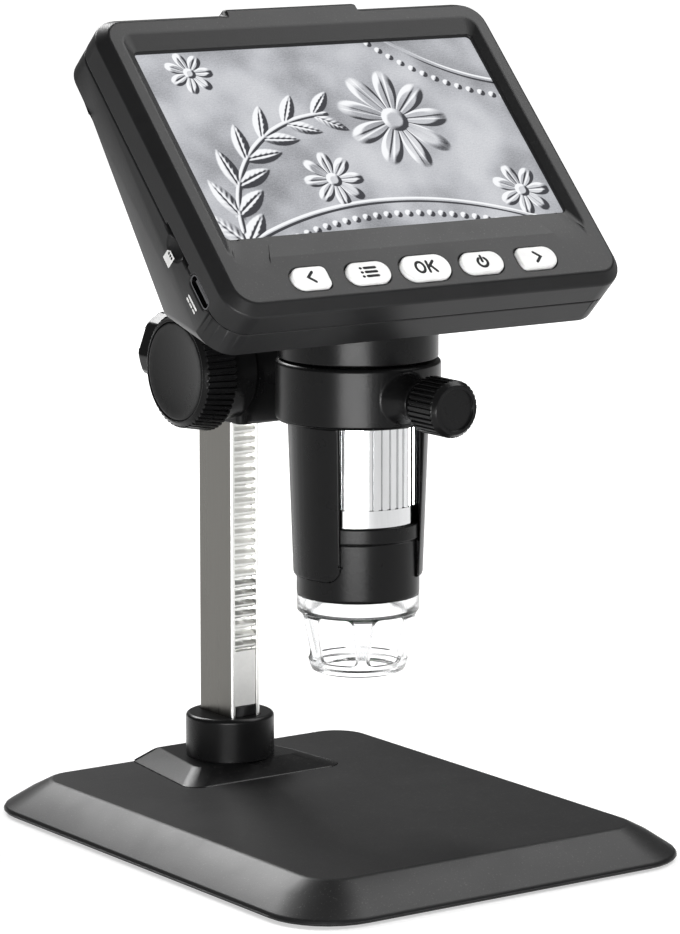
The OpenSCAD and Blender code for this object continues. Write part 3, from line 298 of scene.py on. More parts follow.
def edge_wear():
    """Mask of rubbed outer edges, broken up by noise."""
    def build(graph, given):
        rounded = graph.add("ShaderNodeBevel", {"Radius": given["Radius"]}, samples=6).outputs["Normal"]
        flat = graph.add("ShaderNodeNewGeometry").outputs["Normal"]
        bent = graph.minus(1.0, graph.dot(rounded, flat))
        patches = graph.spread(graph.noise(graph.place(), given["Patch Scale"]), 0.35, 0.7)
        edge = graph.spread(bent, 0.005, 0.12)
        return {"Mask": graph.times(edge, patches)}
    return effect("Edge wear", [("Radius", "Float", 0.0005), ("Patch Scale", "Float", 300.0)],
                  [("Mask", "Float")], build)


def moulded_grain():
    """Fine texture of a mould: height for a bump, and a slow change of gloss."""
    def build(graph, given):
        place = graph.place()
        fine = graph.noise(place, given["Scale"], 2.0, 0.6)
        cells = graph.add("ShaderNodeTexVoronoi", {
            "Vector": place, "Scale": graph.times(given["Scale"], 0.6)}, feature="SMOOTH_F1")
        height = graph.plus(fine, graph.times(cells.outputs["Distance"], 0.5))
        cloud = graph.noise(place, given["Cloud Scale"], 4.0, 0.6)
        return {"Height": height, "Cloud": cloud}
    return effect("Moulded grain", [("Scale", "Float", 4000.0), ("Cloud Scale", "Float", 60.0)],
                  [("Height", "Float"), ("Cloud", "Float")], build)


def handling_marks():
    """Mask of faint smears and settled dust."""
    def build(graph, given):
        place = graph.place()
        smears = graph.spread(graph.noise(place, given["Scale"], 5.0, 0.65), 0.5, 0.75)
        facing = graph.add("ShaderNodeSeparateXYZ", {
            "Vector": graph.add("ShaderNodeNewGeometry").outputs["Normal"]}).outputs["Z"]
        specks = graph.noise(place, graph.times(given["Scale"], 40.0), 1.0)
        dust = graph.times(graph.spread(facing, 0.4, 1.0), graph.spread(specks, 0.62, 0.8))
        return {"Smears": smears, "Dust": dust}
    return effect("Handling marks", [("Scale", "Float", 45.0)],
                  [("Smears", "Float"), ("Dust", "Float")], build)


def drawn_lines():
    """Fine lines left by drawing, rolling or turning, stretched by a scale along each axis."""
    def build(graph, given):
        stretched = graph.blend("MULTIPLY", graph.place(), given["Stretch"])
        lines = graph.noise(stretched, given["Scale"], 4.0, 0.7)
        broad = graph.noise(stretched, graph.times(given["Scale"], 0.12), 2.0)
        return {"Height": lines, "Tone": graph.times(graph.plus(lines, broad), 0.5)}
    return effect("Drawn lines", [("Stretch", "Vector", (1, 1, 1)), ("Scale", "Float", 1500.0)],
                  [("Height", "Float"), ("Tone", "Float")], build)


def new_material(name):
    """Empty material with a Principled shader; returns the material, its graph and the shader."""
    material = bpy.data.materials.new(name)
    material.use_nodes = True
    graph = Graph(material.node_tree)
    return material, graph, material.node_tree.nodes["Principled BSDF"]


def bump(graph, shader, height, distance):
    node = graph.add("ShaderNodeBump", {"Height": height, "Distance": distance, "Strength": 1.0})
    graph.fill(shader, {"Normal": node.outputs["Normal"]})


def rgba(colour, factor=1.0):
    return (*(min(1.0, channel * factor) for channel in colour[:3]), 1.0)


DUST = (0.35, 0.34, 0.32, 1)
SOLDER = (0.6, 0.58, 0.5, 1)


def plastic(name, colour, rough, grain_scale=3200.0, grain_depth=0.012 * MM, shine=0.3, wear=2.2):
    """Moulded plastic: fine grain, cloudy gloss, rubbed edges, faint smears and dust.

    wear is the brightness of a rubbed edge, as a share of the colour.
    """
    material, graph, shader = new_material(name)
    grain = graph.group(moulded_grain(), Scale=grain_scale, Cloud_Scale=70.0)
    marks = graph.group(handling_marks(), Scale=50.0)
    worn = graph.group(edge_wear(), Radius=0.4 * MM, Patch_Scale=260.0)["Mask"]
    tone = graph.mix(graph.spread(grain["Cloud"], 0.3, 0.7), rgba(colour, 0.9), rgba(colour, 1.12))
    rubbed = graph.mix(graph.times(worn, 0.6), tone, rgba(colour, wear))
    dusty = graph.mix(graph.times(marks["Dust"], 0.10), rubbed, DUST)
    cloud = graph.spread(grain["Cloud"], 0.3, 0.7, rough - 0.015, rough + 0.015)
    smeared = graph.plus(cloud, graph.times(marks["Smears"], 0.025))
    gloss = graph.minus(smeared, graph.times(worn, 0.08))
    graph.fill(shader, {"Base Color": dusty, "Roughness": gloss, "Specular IOR Level": shine})
    bump(graph, shader, grain["Height"], grain_depth)
    return material


def metal(name, colour, rough, stretch=(1, 1, 1), line_scale=1500.0, depth=0.004 * MM, polished=None,
          wear=0.5):
    """Worked metal: fine lines along its length, a change of tone and gloss, bright rubbed edges.

    The optional second tone paints a reflection; it is a function that takes the graph and the first
    tone. wear is how far a rubbed edge goes to the brighter colour.
    """
    material, graph, shader = new_material(name)
    lines = graph.group(drawn_lines(), Stretch=stretch, Scale=line_scale)
    marks = graph.group(handling_marks(), Scale=60.0)
    worn = graph.group(edge_wear(), Radius=0.3 * MM, Patch_Scale=400.0)["Mask"]
    tone = graph.mix(graph.spread(lines["Tone"], 0.3, 0.7), rgba(colour, 0.94), rgba(colour, 1.04))
    # the second tone is a painted reflection
    if polished:
        tone = polished(graph, tone)
    rubbed = graph.mix(graph.times(worn, wear), tone, rgba(colour, 1.5))
    gloss = graph.spread(lines["Tone"], 0.3, 0.7, rough * 0.85, rough * 1.15)
    smeared = graph.plus(gloss, graph.times(marks["Smears"], 0.05))
    graph.fill(shader, {"Base Color": rubbed, "Metallic": 1.0, "Roughness": smeared})
    bump(graph, shader, lines["Height"], depth)
    return material


def channel_painted_reflection(colour):
    """The column's second tone, a painted reflection: near white in the channel and on faces that look forward.
    """
    middle_y = sum(reach("column", Vector((0, 1, 0)))) / 2

    def add_tone(graph, tone):
        normal = graph.place("Normal")
        ahead = graph.dot(normal, (0, -1, 0))
        from_middle = graph.blend("SUBTRACT", graph.place(), (0, middle_y, 0))
        outward = graph.dot(graph.blend("MULTIPLY", from_middle, (1, 1, 0)), normal)
        inside = graph.spread(outward, MM, -MM)
        # faces inside the channel and faces towards the front get the pale colour, a painted reflection
        return graph.mix(graph.math("MAXIMUM", inside, graph.spread(ahead, 0.2, 0.7)), tone, rgba(colour))
    return add_tone


def clear(name, colour, rough, ior):
    """Clear moulding or lens: glass that is a little uneven, with faint flow marks."""
    material, graph, shader = new_material(name)
    marks = graph.group(handling_marks(), Scale=90.0)
    smeared = graph.plus(rough, graph.times(marks["Smears"], 0.05))
    graph.fill(shader, {"Base Color": rgba(colour), "Transmission Weight": 1.0, "IOR": ior,
                        "Roughness": smeared})
    flow = graph.group(drawn_lines(), Stretch=(1, 1, 0.25), Scale=260.0)
    bump(graph, shader, flow["Height"], 0.01 * MM)
    return material


def circuit_board(name, colour):
    """Solder mask over copper tracks on a square grid, with bare pads."""
    material, graph, shader = new_material(name)
    place = graph.place()
    tracks = graph.add("ShaderNodeTexBrick", {
        "Vector": place, "Scale": 160.0, "Mortar Size": 0.03, "Color1": (0, 0, 0, 1),
        "Color2": (0, 0, 0, 1), "Mortar": (1, 1, 1, 1)}, offset=0.37).outputs["Fac"]
    cells = graph.add("ShaderNodeTexVoronoi", {"Vector": place, "Scale": 420.0}).outputs["Distance"]
    pads = graph.math("LESS_THAN", cells, 0.2)
    mask = graph.mix(tracks, rgba(colour), rgba(colour, 1.9))
    graph.fill(shader, {"Base Color": graph.mix(pads, mask, SOLDER),
                        "Roughness": graph.spread(cells, 0.0, 0.6, 0.3, 0.45)})
    bump(graph, shader, graph.math("MAXIMUM", tracks, pads), 0.03 * MM)
    return material


# ---------------------------------------------------------------------------------------------------------
# The picture on the screen: a raised pattern of flowers, a leafy branch and borders with rows of beads. Its
# places and sizes are in millimetres from the screen's middle, x across and y up.

BRANCH = (-4, -31, 38)          # centre and radius of the stem's arc
BRANCH_TURN = (176, 96)         # degrees round that centre at the first and the last pair of leaves
BRANCH_END = (-3, -26)          # the stem ends to the left of this x and above this y
LEAF_PAIRS = 7
LEAF_LENGTH = (7.6, 5.4)        # half the length of the first and of the last leaf
LEAF_OFFSET = 4.6               # from the stem to a leaf's middle
LEAF_SPLAY = 38                 # degrees between a leaf and the stem
LEAF_SHAPE = 0.36               # half the width of a leaf, as a share of half its length
# Centre, radius and number of petals
FLOWERS = [(14, 4, 15.5, 9), (-11, -12, 8.5, 8), (39, -19, 8, 7), (-35, 21, 6.5, 7)]
# Centre; radius and half width of the raised ring; radius, size and number of its beads
BORDERS = [
    ((0, -118), (99, 0.8), (95, 1.15, 200)),
    ((60, 64), (52, 0.9), (56.5, 1.1, 118)),
]
SOFT_JOIN = 0.12                # height over which two motifs run into each other
SHADE_STEP = (-0.34, 0.30, 0)   # towards the lamp, from the place where the height is compared


class Relief:
    """Height of the raised pattern, put together motif by motif."""

    def __init__(self, graph, x, y):
        self.graph = graph
        self.x = x
        self.y = y
        self.height = None

    def put_on(self, motif):
        if self.height is None:
            self.height = motif
        else:
            self.height = self.graph.math("SMOOTH_MAX", self.height, motif, SOFT_JOIN)

    def offset(self, cx, cy):
        """How far the place lies to the right of a point, and above it."""
        return self.graph.minus(self.x, cx), self.graph.minus(self.y, cy)

    def length(self, across, up):
        """Length of a step with two parts at right angles."""
        graph = self.graph
        squares = [graph.times(part, part) for part in (across, up)]
        return graph.math("SQRT", graph.plus(*squares))

    def from_ring(self, cx, cy, radius):
        """How far the place lies outside a circle; less than 0 is inside it."""
        return self.graph.minus(self.length(*self.offset(cx, cy)), radius)

    def ring(self, cx, cy, radius, half, height):
        """Raised ring; half is its half width."""
        off = self.graph.math("ABSOLUTE", self.from_ring(cx, cy, radius))
        return self.graph.spread(off, half, half * 0.3, 0.0, height)

    def turned(self, cx, cy, degrees):
        """Place in axes that start at a point and are turned by an angle."""
        graph, angle = self.graph, math.radians(degrees)
        dx, dy = self.offset(cx, cy)
        along = graph.plus(graph.times(dx, math.cos(angle)), graph.times(dy, math.sin(angle)))
        aside = graph.minus(graph.times(dy, math.cos(angle)), graph.times(dx, math.sin(angle)))
        return along, aside

    def leaf(self, cx, cy, degrees, length, width):
        """Pointed leaf with a groove along its middle and side veins. It is measured out from its centre."""
        graph = self.graph
        along, aside = self.turned(cx, cy, degrees)
        share = graph.math("DIVIDE", along, length)
        outline = graph.times(graph.minus(1.0, graph.times(share, share)), width)
        off = graph.math("ABSOLUTE", aside)
        body = graph.spread(graph.minus(outline, off), 0.0, width * 0.8)
        rib = graph.spread(off, 0.0, width * 0.22, 0.45, 0.0)
        vein = graph.math("SINE", graph.times(graph.minus(along, off), 9.0 / width))
        veined = graph.times(body, graph.plus(1.0, graph.times(vein, 0.07)))
        self.put_on(graph.minus(veined, graph.times(body, rib)))

    def beads(self, cx, cy, radius, size, count):
        """Row of round beads on a circle."""
        graph = self.graph
        dx, dy = self.offset(cx, cy)
        beads_round = graph.times(graph.math("ARCTAN2", dy, dx), count / (2 * math.pi))
        around = graph.times(graph.minus(graph.math("FRACT", beads_round), 0.5), 2 * math.pi * radius / count)
        off = self.length(around, self.from_ring(cx, cy, radius))
        self.put_on(graph.spread(off, size, size * 0.2, 0.0, 0.8))

    def stem(self, cx, cy, radius, right, low):
        """Part of a raised ring, to the left of one place and above another."""
        graph = self.graph
        ring = self.ring(cx, cy, radius, half=0.7, height=0.7)
        kept = [graph.spread(self.x, right, right - 2.0), graph.spread(self.y, low, low + 2.0)]
        self.put_on(graph.times(ring, graph.times(*kept)))

    def flower(self, cx, cy, radius, petals):
        """Round flower: petals that swell and end in a curve, round a domed middle."""
        graph = self.graph
        dx, dy = self.offset(cx, cy)
        away = self.length(dx, dy)
        turn = graph.times(graph.math("ARCTAN2", dy, dx), petals / 2.0)
        wave = graph.math("ABSOLUTE", graph.math("COSINE", turn))
        outline = graph.times(graph.math("POWER", wave, 0.35), radius)
        petal = graph.spread(graph.minus(outline, away), 0.0, radius * 0.28)
        swell = graph.times(petal, graph.spread(away, 0.0, radius, 0.55, 1.15))
        crease = graph.times(swell, graph.spread(wave, 0.96, 1.0, 0.0, 0.22))
        self.put_on(graph.minus(swell, crease))
        self.put_on(graph.spread(away, radius * 0.3, radius * 0.12, 0.0, 1.5))


def between(ends, share):
    """Value at a share of the way from one end of a range to the other."""
    return ends[0] + (ends[1] - ends[0]) * share


def branch_leaves():
    """Centre, angle, half length and half width of the leaves, in pairs along the branch."""
    leaves = []
    stem_x, stem_y, radius = BRANCH
    for pair in range(LEAF_PAIRS):
        share = pair / (LEAF_PAIRS - 1)
        turn = math.radians(between(BRANCH_TURN, share))
        cx, cy = stem_x + radius * math.cos(turn), stem_y + radius * math.sin(turn)
        length = between(LEAF_LENGTH, share)
        for side in (1, -1):
            degrees = math.degrees(turn) - 90 + side * LEAF_SPLAY
            angle = math.radians(degrees)
            leaves.append((cx + LEAF_OFFSET * math.cos(angle), cy + LEAF_OFFSET * math.sin(angle),
                           degrees, length, length * LEAF_SHAPE))
    return leaves


def relief_height():
    """Height of the raised pattern at a place on the screen."""
    def build(graph, given):
        place = graph.add("ShaderNodeSeparateXYZ", {"Vector": given["Place"]}).outputs
        relief = Relief(graph, place["X"], place["Y"])
        for leaf in branch_leaves():
            relief.leaf(*leaf)
        relief.stem(*BRANCH, *BRANCH_END)
        for flower in FLOWERS:
            relief.flower(*flower)
        for centre, ring, beads in BORDERS:
            relief.put_on(relief.ring(*centre, *ring, height=0.9))
            relief.beads(*centre, *beads)
        return {"Height": relief.height}
    return effect("Relief height", [("Place", "Vector", (0, 0, 0))], [("Height", "Float")], build)


def picture_tones(graph, light):
    """Greys of the picture, from the shaded side of the pattern to the lit one."""
    ramp = graph.add("ShaderNodeValToRGB", {"Fac": light})
    stops = ramp.color_ramp.elements
    stops.new(0.5)
    greys = ((0.05, (0.035, 0.036, 0.042, 1)), (0.5, (0.50, 0.51, 0.54, 1)), (1.0, (0.93, 0.94, 0.96, 1)))
    for stop, (position, grey) in zip(stops, greys):
        stop.position = position
        stop.color = grey
    return ramp.outputs["Color"]


def picture(graph, x, y):
    """The pattern, shaded by how its height changes towards a lamp at the upper left, on worn metal."""
    spot = graph.add("ShaderNodeCombineXYZ", {"X": x, "Y": y}).outputs["Vector"]
    here = graph.group(relief_height(), Place=spot)["Height"]
    there = graph.group(relief_height(), Place=graph.blend("ADD", spot, SHADE_STEP))["Height"]
    slope = graph.minus(here, there)
    grain = graph.noise(spot, 2.6, 6.0, 0.7)
    scratches = graph.noise(graph.blend("MULTIPLY", spot, (0.5, 3.0, 1)), 1.2, 5.0, 0.75)
    sweep = graph.spread(graph.noise(spot, 0.045, 2.0), 0.3, 0.7, 0.28, 0.62)
    light = sweep
    for layer, weight in ((slope, 2.9), (graph.minus(grain, 0.5), 0.42), (graph.minus(scratches, 0.5), 0.26)):
        light = graph.plus(light, graph.times(layer, weight))
    light = graph.plus(light, graph.times(here, 0.12), clamp=True)
    return picture_tones(graph, light)


def screen_material(name, middle_up, window_w, window_h):
    """Lit screen behind dark glass: the picture in its window, and black round it."""
    material, graph, shader = new_material(name)
    place = graph.place()
    x, y = (graph.math("DIVIDE", graph.minus(graph.dot(place, tuple(axis)), middle), MM)
            for axis, middle in ((ACROSS, 0.0), (UP_SLOPE, middle_up)))
    within = [graph.math("LESS_THAN", graph.math("ABSOLUTE", value), size / 2 / MM + 1)
              for value, size in ((x, window_w), (y, window_h))]
    front = graph.math("GREATER_THAN", graph.dot(graph.place("Normal"), tuple(OUT)), 0.9)
    shown = graph.times(graph.times(*within), front)
    marks = graph.group(handling_marks(), Scale=40.0)
    graph.fill(shader, {
        "Emission Color": graph.mix(shown, (0, 0, 0, 1), picture(graph, x, y)), "Emission Strength": 1.0,
        "Base Color": (0.006, 0.006, 0.008, 1), "Specular IOR Level": 0.03,
        "Roughness": graph.plus(0.35, graph.times(marks["Smears"], 0.1))})
    return material


# ---------------------------------------------------------------------------------------------------------
# Mesh building blocks


def add_object(name, data):
    thing = bpy.data.objects.new(name, data)
    bpy.context.scene.collection.objects.link(thing)
    return thing


def mesh_from(name, form):
    """Mesh with the shape of a form, which is used up."""
    mesh = bpy.data.meshes.new(name)
    form.to_mesh(mesh)
    form.free()
    return mesh


def add_piece(name, mesh, body, material, replaced=()):
    """Object for a mesh, tied to its body and the nodes that it stands for."""
    piece = add_object(name, mesh)
    mesh.materials.clear()
    mesh.materials.append(material)
    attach(piece, body)
    if replaced:
        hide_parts(*replaced)
    return piece


def whole_surface():
    """Search tree of every node's surface at rest."""
    corners, faces = [], []
    for node in frame["nodes"].values():
        first = len(corners)
        corners.extend(vertex.co.copy() for vertex in node.data.vertices)
        faces.extend([first + index for index in face.vertices] for face in node.data.polygons)
    return BVHTree.FromPolygons(corners, faces)


WHOLE = whole_surface()


def shows(edge):
    """Whether a straight line leads from the edge to the open air, past every node."""
    middle = (edge.verts[0].co + edge.verts[1].co) / 2
    ways = [face.normal for face in edge.link_faces]
    ways.append(sum(ways, Vector()).normalized())
    return any(WHOLE.ray_cast(middle + way * CLEAR_OF_SURFACE, way)[0] is None for way in ways)


def round_edges(form, edges, radius, steps):
    """Rounds the edges and returns the faces that this makes."""
    made = bmesh.ops.bevel(form, geom=edges, offset=radius, offset_type="OFFSET", affect="EDGES",
                           segments=steps, profile=0.5, clamp_overlap=False, miter_outer="ARC")
    return made["faces"]


def sound_edges(form, edges, radius, steps):
    """The edges that can be rounded with every new point close to the old surface.

    Each try rounds a copy, and the next one leaves out the edges near the corners where the surface strayed.
    """
    surface = BVHTree.FromBMesh(form)
    kept = list(edges)
    for _ in range(ROUNDING_TRIES):
        trial = form.copy()
        trial.edges.ensure_lookup_table()
        round_edges(trial, [trial.edges[edge.index] for edge in kept], radius, steps)
        stray = {corner for corner in trial.verts if surface.find_nearest(corner.co)[3] > STRAY * radius}
        roots = [edge.other_vert(corner).co.copy() for corner in stray for edge in corner.link_edges
                 if edge.other_vert(corner) not in stray]
        for corners in trial.calc_loop_triangles():
            middle = sum((corner.vert.co for corner in corners), Vector()) / 3
            if surface.find_nearest(middle)[3] > STRAY * radius:
                roots.extend(corner.vert.co.copy() for corner in corners)
        trial.free()
        if not roots:
            break
        near = KDTree(len(roots))
        for index, root in enumerate(roots):
            near.insert(root, index)
        near.balance()
        kept = [edge for edge in kept
                if min(near.find(corner.co)[2] for corner in edge.verts) > ROOM * radius]
    return kept


def bends(edge, degrees):
    """Whether the two faces at an edge meet at more than an angle."""
    return len(edge.link_faces) == 2 and edge.calc_face_angle() > math.radians(degrees)


def soften(node, radius, finish, sharp_angle=MOULDED_EDGE, steps=None, seated=False):
    """Copy of a node's mesh with the sharp edges that show rounded, which stands for the node.

    The lowest edges of a seated piece stay. An edge that can't be rounded is shaded as a sharp line, or as a
    smooth one where it hardly bends.
    """
    mesh = frame["nodes"][node].data.copy()
    mesh.name = node + "_rounded"
    form = bmesh.new()
    form.from_mesh(mesh)
    bmesh.ops.remove_doubles(form, verts=form.verts, dist=WELD)
    bmesh.ops.dissolve_limit(form, angle_limit=math.radians(FLAT), verts=form.verts, edges=form.edges)
    form.edges.index_update()
    sharp = [edge for edge in form.edges if bends(edge, sharp_angle)]
    seat = min(corner.co.z for corner in form.verts) + SEAT
    free = [edge for edge in sharp
            if shows(edge) and (not seated or max(corner.co.z for corner in edge.verts) > seat)]
    steps = steps or shapes().edge_steps
    sound = sound_edges(form, free, radius, steps)
    for face in form.faces:
        face.smooth = True
    left = {edge for edge in set(sharp) - set(sound) if bends(edge, SHARP_LEFT)}
    for edge in form.edges:
        edge.smooth = edge not in left
    strength = form.faces.layers.int.new(FACE_STRENGTH)
    for face in form.faces:
        face[strength] = STRONG
    for face in round_edges(form, sound, radius, steps):
        face[strength] = WEAK
    form.to_mesh(mesh)
    form.free()
    if "custom_normal" in mesh.attributes:
        mesh.attributes.remove(mesh.attributes["custom_normal"])
    piece = add_piece(node + "_rounded", mesh, body_of(node), finish, [node])
    even = piece.modifiers.new("Even shading", "WEIGHTED_NORMAL")
    even.keep_sharp = True
    even.use_face_influence = True
    return piece


def path_normals(points, closed):
    """Sideways step at each point of a flat path, longer at a corner so that the line keeps its width."""
    count = len(points)
    normals = []
    for index, point in enumerate(points):
        before = points[(index - 1) % count] if closed or index else None
        after = points[(index + 1) % count] if closed or index < count - 1 else None
        steps = [(end - start).normalized() for start, end in ((before, point), (point, after))
                 if start is not None and end is not None]
        along = sum(steps, Vector((0, 0))).normalized()
        normal = Vector((-along.y, along.x))
        normals.append(normal / max(SHARPEST_TURN, normal.dot(Vector((-steps[0].y, steps[0].x)))))
    return normals


def join_outlines(form, first, second):
    """Faces between two outlines with as many corners."""
    for step in range(len(first)):
        following = (step + 1) % len(first)
        form.faces.new((first[step], first[following], second[following], second[step]))


def with_round_end(sections, width):
    """Sections with two narrower ones before the first."""
    for share in STROKE_END:
        point, normal, _ = sections[0]
        past = point + (point - sections[1][0]).normalized() * width * STROKE_END_STEP
        sections = [(past, normal, share), *sections]
    return sections


def add_stroke(form, points, width, thickness, place, closed=False):
    """Flat printed line along a path, domed and with round ends; place puts a flat point in space."""
    points = [Vector(point) for point in points]
    # Each section is a point of the path, the sideways step there and its share of the width
    sections = [(point, normal, 1.0) for point, normal in zip(points, path_normals(points, closed))]
    if not closed:
        sections = with_round_end(sections, width)
        sections = with_round_end(sections[::-1], width)[::-1]
    rings = []
    for point, normal, share in sections:
        ring = []
        for step in range(STROKE_SIDES):
            angle = 2 * math.pi * step / STROKE_SIDES
            side = point + normal * (math.cos(angle) * share * width / 2)
            ring.append(form.verts.new(place(side.x, side.y, math.sin(angle) * thickness * share)))
        rings.append(ring)
    pairs = list(zip(rings, rings[1:])) + ([(rings[-1], rings[0])] if closed else [])
    for first, second in pairs:
        join_outlines(form, first, second)
    if not closed:
        form.faces.new(rings[0][::-1])
        form.faces.new(rings[-1])


def arc(cx, cy, rx, ry, start, end, steps):
    """Points of an elliptic arc, from one angle to another in degrees."""
    angles = [math.radians(start + (end - start) * step / steps) for step in range(steps + 1)]
    return [(cx + rx * math.cos(angle), cy + ry * math.sin(angle)) for angle in angles]


def add_printed(name, form, body, finish, smooth):
    """Piece for a printed shape."""
    bmesh.ops.recalc_face_normals(form, faces=form.faces)
    for face in form.faces:
        face.smooth = smooth
    return add_piece(name, mesh_from(name, form), body, finish)


def print_symbol(name, strokes, place, body, finish, width):
    """Piece made of printed strokes; each is a path in millimetres and whether it closes on itself."""
    form = bmesh.new()
    for points, closed in strokes:
        add_stroke(form, [(x * MM, y * MM) for x, y in points], width, shapes().print_t, place, closed)
    return add_printed(name, form, body, finish, smooth=True)


def add_plate(name, corners, place, body, finish):
    """Flat printed shape with a low sloping rim; the corners are in millimetres."""
    form = bmesh.new()
    outline = [(x * MM, y * MM) for x, y in corners]
    low = [form.verts.new(place(x, y, 0)) for x, y in outline]
    high = [form.verts.new(place(x * PLATE_TOP, y * PLATE_TOP, shapes().print_t)) for x, y in outline]
    form.faces.new(high)
    form.faces.new(low[::-1])
    join_outlines(form, low, high)
    return add_printed(name, form, body, finish, smooth=False)


def key_symbols():
    """Strokes of each key's symbol, in millimetres from the key's middle."""
    rise = 1.45                 # half the height of a letter
    row_step = 1.15
    heights = (row_step, 0, -row_step)
    chevron = [(0.75, 1.35), (-0.75, 0), (0.75, -1.35)]
    rows = [([(-0.9, y), (2.0, y)], False) for y in heights]
    dots = [([(-2.0, y), (-1.9, y)], False) for y in heights]
    letter_o = [(arc(-1.7, 0, 1.15, rise, 0, 345, 23), True)]
    letter_k = [([(0.45, rise), (0.45, -rise)], False), ([(2.3, rise), (0.6, -0.15)], False),
                ([(1.15, 0.35), (2.4, -rise)], False)]
    ring = [(arc(0, -0.1, 1.3, 1.3, 125, 415, 22), False), ([(0, 0.1), (0, 1.6)], False)]
    return {
        "key_left": [(chevron, False)],
        "key_menu": rows + dots,
        "key_ok": letter_o + letter_k,
        "key_power": ring,
        "key_right": [([(-x, y) for x, y in chevron], False)],
    }


def add_key_symbols():
    """Prints each key's symbol on the middle of its top."""
    ink = plastic("Key ink", colours().ink, 0.5, shine=0.1, wear=1.2)
    for key, strokes in key_symbols().items():
        middle_x = sum(reach(key, ACROSS)) / 2
        front = reach(key, OUT)[1]
        corners = [corner.co for corner in frame["nodes"][key].data.vertices]
        top = [corner.dot(UP_SLOPE) for corner in corners if corner.dot(OUT) > front - KEY_TOP]
        middle_up = (min(top) + max(top)) / 2

        def place(x, y, lift):
            return on_head(middle_x + x, middle_up + y, front + lift)

        print_symbol(key + "_symbol", strokes, place, body_of(key), ink, shapes().line_w)


def add_port_symbols():
    """Plain pictograms beside the card slot and the power port, printed on the head's left side."""
    white = plastic("White print", (0.75, 0.75, 0.74), 0.5, shine=0.3, wear=1.1)
    black = plastic("Black print", colours().ink, 0.5, shine=0.1, wear=1.1)
    side = reach("rear_shell", ACROSS)[0]
    slot_up = sum(reach("card_socket", UP_SLOPE)) / 2
    port_up = sum(reach("usb_port", UP_SLOPE)) / 2
    joint = reach("rear_shell", OUT)[1]
    fine_line = shapes().line_w * 0.8

    def beside(middle_up, raised=0.0):
        def place(x, y, lift):
            return on_head(side - raised - lift, middle_up + x, joint - shapes().symbol_gap + y)
        return place

    card = [(-1.6, -1.7), (1.6, -1.7), (1.6, 0.8), (0.7, 1.7), (-1.6, 1.7)]
    add_plate("card_symbol", card, beside(slot_up), "head", white)
    contacts = [([(x, 0.75), (x, 1.0)], False) for x in (-0.9, -0.15, 0.6)]
    print_symbol("card_contacts", contacts, beside(slot_up, shapes().print_t), "head", black,
                 fine_line)
    solid = [([(-2.0, 0.5), (2.0, 0.5)], False)]
    dashes = [([(x, -0.5), (x + 0.8, -0.5)], False) for x in (-2.0, -0.4, 1.2)]
    print_symbol("power_symbol", solid + dashes, beside(port_up), "head", white, fine_line)


# ---------------------------------------------------------------------------------------------------------
# Operators


class Finishes:
    """Materials by slot name, made when they are first asked for. port_shell is the one that isn't a slot."""

    made = {}

    @classmethod
    def of(cls, name):
        if name not in cls.made:
            cls.made[name] = cls.makers()[name]()
        return cls.made[name]

    @staticmethod
    def makers():
        tint = colours()
        return {
            "black_plastic": lambda: plastic("Black plastic", tint.black, 0.28, shine=0.14),
            "base_black": lambda: plastic("Base plastic", tint.base, 0.40, shine=0.2),
            "head_grey": lambda: plastic("Head plastic", tint.head, 0.40, shine=0.18),
            "key_white": lambda: plastic("Key plastic", tint.key, 0.35, grain_depth=0.004 * MM, shine=0.5,
                                         wear=1.1),
            "nylon": lambda: plastic("Nylon", (0.78, 0.77, 0.73), 0.5, shine=0.4, wear=1.1),
            "rubber_black": lambda: plastic("Rubber", (0.02, 0.02, 0.02), 0.8, grain_scale=1200.0,
                                            grain_depth=0.03 * MM, shine=0.2),
            "led_white": lambda: plastic("Lamp dome", (0.95, 0.9, 0.75), 0.15, shine=0.5, wear=1.0),
            "sensor_dark": lambda: plastic("Sensor lid", (0.03, 0.03, 0.04), 0.1, shine=0.6),
            "cable_amber": lambda: plastic("Film cable", (0.6, 0.3, 0.1), 0.35, wear=1.2),
            "steel": lambda: metal("Zinc-plated steel", (0.6, 0.61, 0.62), 0.3),
            "ballast_steel": lambda: metal("Rolled steel", (0.4, 0.4, 0.41), 0.5, stretch=(0.2, 1, 1)),
            # the column's near-white second tone is a painted reflection on faces inside the channel and
            # towards the front
            "column_metal": lambda: metal("Drawn aluminium", tint.column, 0.3, stretch=(1, 1, 0.02),
                                          line_scale=2500.0, polished=channel_painted_reflection((0.85, 0.85, 0.83))),
            "rack_metal": lambda: metal("Milled aluminium", (0.90, 0.90, 0.88), 0.42, stretch=(1, 0.2, 1),
                                        line_scale=1800.0),
            "brass": lambda: metal("Turned brass", (0.72, 0.55, 0.27), 0.28, line_scale=2200.0),
            "chrome": lambda: metal("Chrome", (0.56, 0.565, 0.57), 0.1, stretch=(1, 1, 0.1),
                                    line_scale=900.0, depth=0.0001 * MM, wear=0.05),
            "battery_foil": lambda: metal("Foil pouch", (0.55, 0.57, 0.6), 0.4, line_scale=500.0,
                                          depth=0.02 * MM),
            "port_shell": lambda: metal("Port shell", (0.10, 0.10, 0.105), 0.3),
            "clear_plastic": lambda: clear("Clear plastic", (0.95, 0.955, 0.96), 0.2, 1.25),
            "lens_glass": lambda: clear("Lens glass", (0.93, 0.96, 1.0), 0.01, 1.52),
            "board_green": lambda: circuit_board("Circuit board", (0.03, 0.16, 0.08)),
            "screen_glass": make_screen,
        }


def make_screen():
    """Material of the screen, with the picture in the panel's window."""
    rim_side, rim_top, rim_bottom = 5.4 * MM, 3.8 * MM, 9.5 * MM
    low, high = reach("screen_panel", UP_SLOPE)
    side = reach("screen_panel", ACROSS)[1]
    top, bottom = high - rim_top, low + rim_bottom
    return screen_material("Screen", (top + bottom) / 2, 2 * (side - rim_side), top - bottom)


def paint(*nodes, finish=None):
    """Gives each node the material of its slot, or another one."""
    for node in nodes:
        target = frame["nodes"][node]
        target.data.materials.clear()
        target.data.materials.append(Finishes.of(finish or slot_of(node)))


